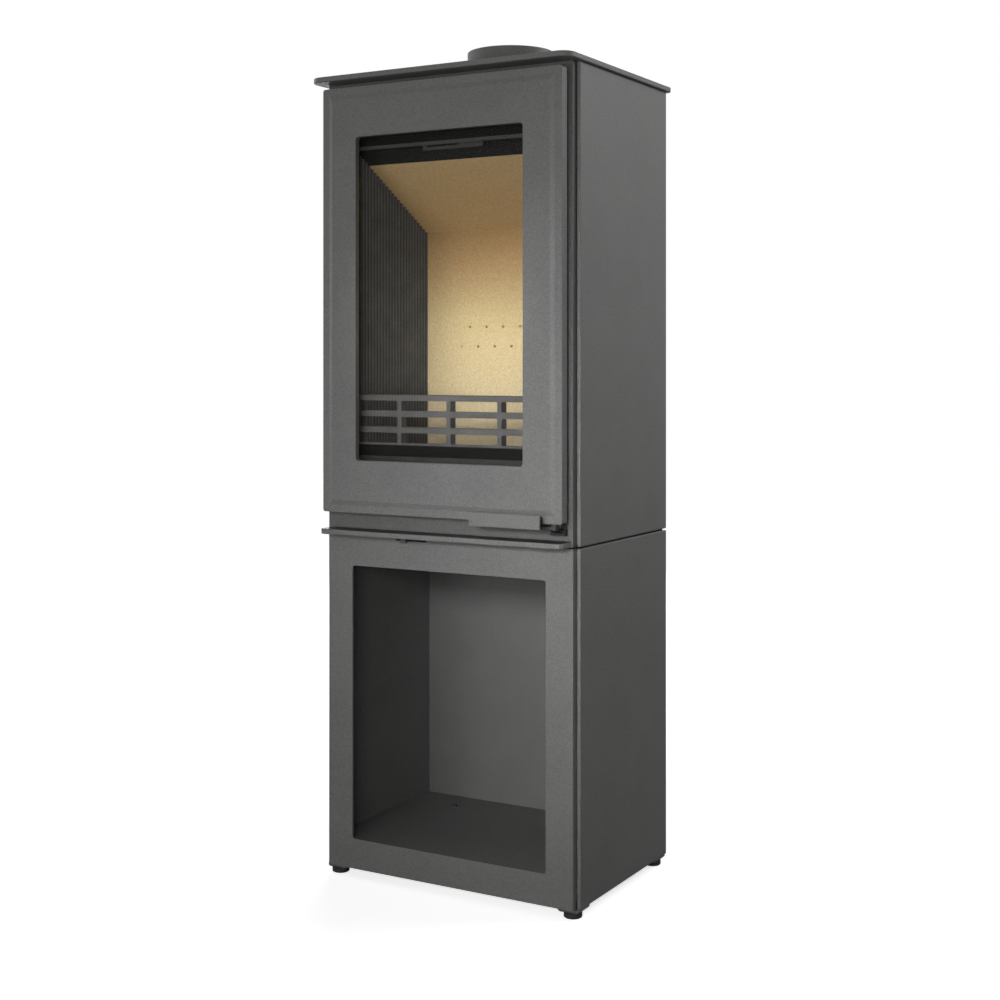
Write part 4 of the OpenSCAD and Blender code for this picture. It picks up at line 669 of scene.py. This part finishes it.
def ropeTree():
    tree, start = newTree("BraidedRope", [
        ("Width", "Float", 0.3), ("Height", "Float", 0.5), ("Corner", "Float", 0.014), ("Points", "Int", 600),
        ("Turns", "Float", 60.0), ("Strands", "Int", 8), ("Strand Radius", "Float", 0.0012),
        ("Braid Radius", "Float", 0.0037), ("Lift", "Float", 0.0003), ("Core Radius", "Float", 0.0035),
        ("Centre", "Vector", (0, 0, 0))])
    outline = addNode(tree, "GeometryNodeCurvePrimitiveQuadrilateral", links={
        "Width": start["Width"], "Height": start["Height"]})
    outline = addNode(tree, "GeometryNodeFilletCurve", {"Count": 12, "Limit Radius": True},
                      {"Curve": outline.outputs[0], "Radius": start["Corner"]}, mode="POLY")
    path = addNode(tree, "GeometryNodeResampleCurve", links={"Curve": outline.outputs[0],
                                                             "Count": start["Points"]})
    copies = addNode(tree, "GeometryNodeDuplicateElements", links={
        "Geometry": path.outputs[0], "Amount": start["Strands"]}, domain="SPLINE")
    copyIndex = copies.outputs["Duplicate Index"]
    share = addNode(tree, "GeometryNodeSplineParameter").outputs["Factor"]
    tangent = addNode(tree, "GeometryNodeInputTangent").outputs[0]
    side = addNode(tree, "ShaderNodeVectorMath", {1: (0, 0, 1)}, {0: tangent},
                   operation="CROSS_PRODUCT").outputs[0]
    odd = addNode(tree, "ShaderNodeMath", {1: 2.0}, {0: copyIndex}, operation="MODULO").outputs[0]
    way = addNode(tree, "ShaderNodeMath", {1: 2.0, 2: -1.0}, {0: odd}, operation="MULTIPLY_ADD").outputs[0]
    turns = addNode(tree, "ShaderNodeMath", links={0: share, 1: start["Turns"]},
                    operation="MULTIPLY").outputs[0]
    turned = addNode(tree, "ShaderNodeMath", links={0: turns, 1: way}, operation="MULTIPLY").outputs[0]
    phase = addNode(tree, "ShaderNodeMath", links={0: copyIndex, 1: start["Strands"]},
                    operation="DIVIDE").outputs[0]
    angle = addNode(tree, "ShaderNodeMath", links={0: turned, 1: phase}, operation="ADD").outputs[0]
    angle = addNode(tree, "ShaderNodeMath", {1: 2 * math.pi}, {0: angle}, operation="MULTIPLY").outputs[0]
    crossings = addNode(tree, "ShaderNodeMath", links={0: turns, 1: start["Strands"]},
                        operation="MULTIPLY").outputs[0]
    wave = addNode(tree, "ShaderNodeMath", {1: math.pi}, {0: crossings}, operation="MULTIPLY").outputs[0]
    wave = addNode(tree, "ShaderNodeMath", links={0: wave}, operation="COSINE").outputs[0]
    wave = addNode(tree, "ShaderNodeMath", links={0: wave, 1: way}, operation="MULTIPLY").outputs[0]
    radius = addNode(tree, "ShaderNodeMath", links={0: wave, 1: start["Lift"], 2: start["Braid Radius"]},
                     operation="MULTIPLY_ADD").outputs[0]
    across = addNode(tree, "ShaderNodeMath", links={0: angle}, operation="COSINE").outputs[0]
    across = addNode(tree, "ShaderNodeMath", links={0: across, 1: radius}, operation="MULTIPLY").outputs[0]
    up = addNode(tree, "ShaderNodeMath", links={0: angle}, operation="SINE").outputs[0]
    up = addNode(tree, "ShaderNodeMath", links={0: up, 1: radius}, operation="MULTIPLY").outputs[0]
    shift = addNode(tree, "ShaderNodeVectorMath", links={0: side, 3: across}, operation="SCALE").outputs[0]
    lift = addNode(tree, "ShaderNodeCombineXYZ", links={"Z": up}).outputs[0]
    shift = addNode(tree, "ShaderNodeVectorMath", links={0: shift, 1: lift}, operation="ADD").outputs[0]
    strands = addNode(tree, "GeometryNodeSetPosition", links={"Geometry": copies.outputs[0], "Offset": shift})
    yarn = addNode(tree, "GeometryNodeCurvePrimitiveCircle", {"Resolution": 5},
                   {"Radius": start["Strand Radius"]})
    strands = addNode(tree, "GeometryNodeCurveToMesh", links={"Curve": strands.outputs[0],
                                                              "Profile Curve": yarn.outputs[0]})
    middle = addNode(tree, "GeometryNodeCurvePrimitiveCircle", {"Resolution": 12},
                     {"Radius": start["Core Radius"]})
    core = addNode(tree, "GeometryNodeCurveToMesh", links={"Curve": outline.outputs[0],
                                                           "Profile Curve": middle.outputs[0]})
    rope = addNode(tree, "GeometryNodeJoinGeometry")
    tree.links.new(strands.outputs[0], rope.inputs[0])
    tree.links.new(core.outputs[0], rope.inputs[0])
    placed = addNode(tree, "GeometryNodeTransform", {"Rotation": (math.pi / 2, 0, 0)},
                     {"Geometry": rope.outputs[0], "Translation": start["Centre"]})
    return endTree(tree, start, placed.outputs[0])


low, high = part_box("door_rope")
ropeWidth = high.y - low.y
metres = inMetres(ropeSizes)
runWide, runHigh = high.x - low.x - ropeWidth, high.z - low.z - ropeWidth
around = 2 * (runWide + runHigh) - (8 - 2 * math.pi) * metres["corner"]
turnCount = round(around / metres["turn"])
strandRadius = metres["strand"] / 2
mesh = growMesh("DoorRope", ropeTree(), {
    "Width": runWide, "Height": runHigh, "Corner": metres["corner"],
    "Points": turnCount * ropeSizes["pointsPerTurn"], "Turns": float(turnCount),
    "Strands": ropeSizes["strands"],
    "Strand Radius": strandRadius, "Braid Radius": ropeWidth / 2 - strandRadius - metres["lift"],
    "Lift": metres["lift"], "Core Radius": metres["core"], "Centre": (low + high) / 2},
    finishOfSlot["glass_fibre_rope"])
mesh.shade_smooth()
addPiece("door_rope", mesh)
print("rope seal braided:", turnCount, "turns")


# levelling feet: a turned disc on a threaded stud
footSizes = {"discMm": 26.0, "discHighMm": 8.0, "rimMm": 1.2, "neckMm": 22.0, "studMm": 8.0, "threadMm": 0.6,
             "pitchMm": 1.25, "aroundThread": 24}


def footTree():
    tree, start = newTree("LevellingFoot", [
        ("Disc Radius", "Float", 0.013), ("Disc Height", "Float", 0.008), ("Rim", "Float", 0.0012),
        ("Neck Radius", "Float", 0.011), ("Stud Radius", "Float", 0.0035), ("Stud Height", "Float", 0.03),
        ("Thread Radius", "Float", 0.0037), ("Thread", "Float", 0.0006), ("Thread Turns", "Float", 24.0),
        ("Around", "Int", 24)])
    neck = addNode(tree, "ShaderNodeMath", links={0: start["Disc Height"], 1: start["Rim"]},
                   operation="SUBTRACT")
    drumHigh = addNode(tree, "ShaderNodeMath", links={0: neck.outputs[0], 1: start["Rim"]},
                       operation="SUBTRACT")
    soleRadius = addNode(tree, "ShaderNodeMath", links={0: start["Disc Radius"], 1: start["Rim"]},
                         operation="SUBTRACT")
    parts = addNode(tree, "GeometryNodeJoinGeometry")
    drums = [(soleRadius.outputs[0], start["Disc Radius"], start["Rim"], None),
             (start["Disc Radius"], start["Disc Radius"], drumHigh.outputs[0], start["Rim"]),
             (start["Disc Radius"], start["Neck Radius"], start["Rim"], neck.outputs[0]),
             (start["Stud Radius"], start["Stud Radius"], start["Stud Height"], start["Disc Height"])]
    for bottom, top, high, lift in drums:
        cone = addNode(tree, "GeometryNodeMeshCone", {"Vertices": 48}, {
            "Radius Bottom": bottom, "Radius Top": top, "Depth": high})
        raised = addNode(tree, "ShaderNodeCombineXYZ", links={"Z": lift} if lift else None)
        moved = addNode(tree, "GeometryNodeTransform", links={"Geometry": cone.outputs["Mesh"],
                                                              "Translation": raised.outputs[0]})
        tree.links.new(moved.outputs[0], parts.inputs[0])
    helix = addNode(tree, "GeometryNodeCurveSpiral", links={
        "Resolution": start["Around"], "Rotations": start["Thread Turns"],
        "Start Radius": start["Thread Radius"], "End Radius": start["Thread Radius"],
        "Height": start["Stud Height"]})
    ridge = addNode(tree, "GeometryNodeCurvePrimitiveCircle", {"Resolution": 4}, {"Radius": start["Thread"]})
    thread = addNode(tree, "GeometryNodeCurveToMesh", {"Fill Caps": True},
                     {"Curve": helix.outputs[0], "Profile Curve": ridge.outputs[0]})
    raised = addNode(tree, "ShaderNodeCombineXYZ", links={"Z": start["Disc Height"]})
    thread = addNode(tree, "GeometryNodeTransform", links={"Geometry": thread.outputs[0],
                                                           "Translation": raised.outputs[0]})
    tree.links.new(thread.outputs[0], parts.inputs[0])
    placed = addNode(tree, "GeometryNodeInstanceOnPoints", links={"Points": start["Geometry"],
                                                                  "Instance": parts.outputs[0]})
    return endTree(tree, start, placed.outputs["Instances"])


levellingFoot = footTree()
metres = inMetres(footSizes)
for name in ("foot_front_left", "foot_front_right", "foot_rear_left", "foot_rear_right"):
    low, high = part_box(name)
    studHigh = high.z - low.z - metres["discHigh"]
    mesh = growMesh(titleOf(name), levellingFoot, {
        "Disc Radius": metres["disc"] / 2, "Disc Height": metres["discHigh"], "Rim": metres["rim"],
        "Neck Radius": metres["neck"] / 2, "Stud Radius": metres["stud"] / 2 - metres["thread"],
        "Stud Height": studHigh - metres["thread"], "Thread Radius": metres["stud"] / 2 - metres["thread"],
        "Thread": metres["thread"], "Thread Turns": studHigh / metres["pitch"] - 1,
        "Around": footSizes["aroundThread"]},
        finishOfSlot[slotOfNode[name]], [((low.x + high.x) / 2, (low.y + high.y) / 2, low.z)])
    smoothButCreased(mesh, 30)
    addPiece(name, mesh)
print("feet turned and threaded")


# cast bottom grate and log guard, with the larger rounding of cast edges
roundedPiece("grate", 0.9)
# the guard's foot is darker below its lowest opening: painted shade, where the door's lower rail shades it
guardIron = castIron("CastGuardIron", ("#656463", "#706f6e", "#7c7b79"), 0.1,
                     shadeTop=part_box("log_guard")[0].z + paintedShadeLines["guardFoot"])
roundedPiece("log_guard", 0.9, guardIron, segments=3)
roundedPiece("hub_screw", 0.2)
print("grate, guard and hub screw made")


stage = {"size": 14.0, "floorColour": "#f4f4f4", "worldStrength": 0.04,
         "glowNear": 0.72, "whiteFrom": 0.5, "whiteBy": 1.3,  # the floor's glow, and metres from the middle
         "floorUnseen": 0.30}  # how pale the floor is for light that bounces off it


def makeStage():
    mesh = bpy.data.meshes.new("Floor")
    s = stage["size"] / 2
    mesh.from_pydata([(-s, -s, 0), (s, -s, 0), (s, s, 0), (-s, s, 0)], [], [(0, 1, 2, 3)])
    floor = bpy.data.objects.new("Floor", mesh)
    bpy.context.scene.collection.objects.link(floor)
    material = bpy.data.materials.new("PaleFloor")
    material.use_nodes = True
    tree = material.node_tree
    shader = tree.nodes["Principled BSDF"]
    shader.inputs["Base Color"].default_value = hexToLinear(stage["floorColour"])
    shader.inputs["Roughness"].default_value = 0.9
    shader.inputs["Specular IOR Level"].default_value = 0.0
    # the camera sees it white, and less so round the object, where its shadow shows
    path = addNode(tree, "ShaderNodeLightPath")
    spot = addNode(tree, "ShaderNodeTexCoord")
    away = addNode(tree, "ShaderNodeVectorMath", links={0: spot.outputs["Object"]}, operation="LENGTH")
    white = addNode(tree, "ShaderNodeMapRange",
                    {"From Min": stage["whiteFrom"], "From Max": stage["whiteBy"],
                     "To Min": stage["glowNear"], "To Max": 1.0},
                    {"Value": away.outputs["Value"]}, interpolation_type="SMOOTHSTEP")
    glow = addNode(tree, "ShaderNodeEmission", {"Color": (1, 1, 1, 1)}, {"Strength": white.outputs["Result"]})
    both = addNode(tree, "ShaderNodeAddShader", links={0: shader.outputs[0], 1: glow.outputs[0]})
    dim = addNode(tree, "ShaderNodeBsdfDiffuse", {"Color": [stage["floorUnseen"]] * 3 + [1.0]})
    pick = addNode(tree, "ShaderNodeMixShader", links={0: path.outputs["Is Camera Ray"], 1: dim.outputs[0],
                                                       2: both.outputs[0]})
    tree.links.new(pick.outputs[0], tree.nodes["Material Output"].inputs["Surface"])
    mesh.materials.append(material)

    world = bpy.data.worlds.new("Studio")
    bpy.context.scene.world = world
    world.use_nodes = True
    tree = world.node_tree
    tree.nodes.clear()
    path = addNode(tree, "ShaderNodeLightPath")
    seen = addNode(tree, "ShaderNodeMath", links={
        0: path.outputs["Is Camera Ray"], 1: path.outputs["Is Glossy Ray"]}, operation="MAXIMUM")
    seen = addNode(tree, "ShaderNodeMath", links={0: seen.outputs[0], 1: path.outputs["Is Transmission Ray"]},
                   operation="MAXIMUM")
    ambient = addNode(tree, "ShaderNodeBackground", {"Color": (1, 1, 1, 1),
                                                     "Strength": stage["worldStrength"]})
    white = addNode(tree, "ShaderNodeBackground", {"Color": (1, 1, 1, 1), "Strength": 1.0})
    mix = addNode(tree, "ShaderNodeMixShader", links={0: seen.outputs[0], 1: ambient.outputs[0],
                                                      2: white.outputs[0]})
    addNode(tree, "ShaderNodeOutputWorld", links={"Surface": mix.outputs[0]})


lamps = {  # place, aim, side of the square panel, watts, spread in degrees
    "FrontLight": ((-0.3, -2.6, 0.55), (0.0, 0.0, 0.65), 0.8, 11.5, 180),
    "FillLight": ((1.0, -2.3, 0.8), (0.0, 0.0, 0.65), 0.6, 16.0, 180),
    "SideLight": ((1.5, 1.0, 1.7), (0.0, 0.0, 0.65), 0.8, 12.5, 180),
    "CornerBeam": ((0.45, -2.5, 1.2), (0.22, -0.1, 0.52), 0.4, 1.05, 26),
    "FireboxBeam": ((0.3, -1.5, 1.2), (-0.04, 0.05, 0.79), 0.14, 0.095, 12),
    "RearLight": ((-1.7, 2.7, 1.2), (0.0, 0.0, 0.65), 1.2, 36.0, 180),
    "LeftLight": ((-2.8, -0.5, 1.1), (0.0, 0.0, 0.65), 1.2, 16.0, 180),
}


def makeLamps():
    for name, (place, aim, side, watts, spread) in lamps.items():
        data = bpy.data.lights.new(name, "AREA")
        data.shape = "SQUARE"
        data.size = side
        data.energy = watts
        data.spread = math.radians(spread)
        lamp = bpy.data.objects.new(name, data)
        lamp.location = place
        lamp.rotation_euler = (Vector(aim) - Vector(place)).to_track_quat("-Z", "Y").to_euler()
        bpy.context.scene.collection.objects.link(lamp)


# place in m, turn in degrees, lens and sensor in mm, shift as a share of the view's longer side
cameraView = {"place": (1.1917, -2.0439, 0.7655), "turn": 30.0, "lens": 56.21, "sensor": 36.0,
              "shiftY": -0.1357}


def makeCamera():
    data = bpy.data.cameras.new("Camera")
    data.lens = cameraView["lens"]
    data.sensor_width = cameraView["sensor"]
    data.shift_y = cameraView["shiftY"]
    camera = bpy.data.objects.new("Camera", data)
    camera.location = cameraView["place"]
    camera.rotation_euler = (math.radians(90), 0, math.radians(cameraView["turn"]))
    bpy.context.scene.collection.objects.link(camera)
    bpy.context.scene.camera = camera


makeStage()
makeLamps()
makeCamera()
bpy.context.scene.view_settings.view_transform = "Standard"
print("stage, lamps and camera ready")
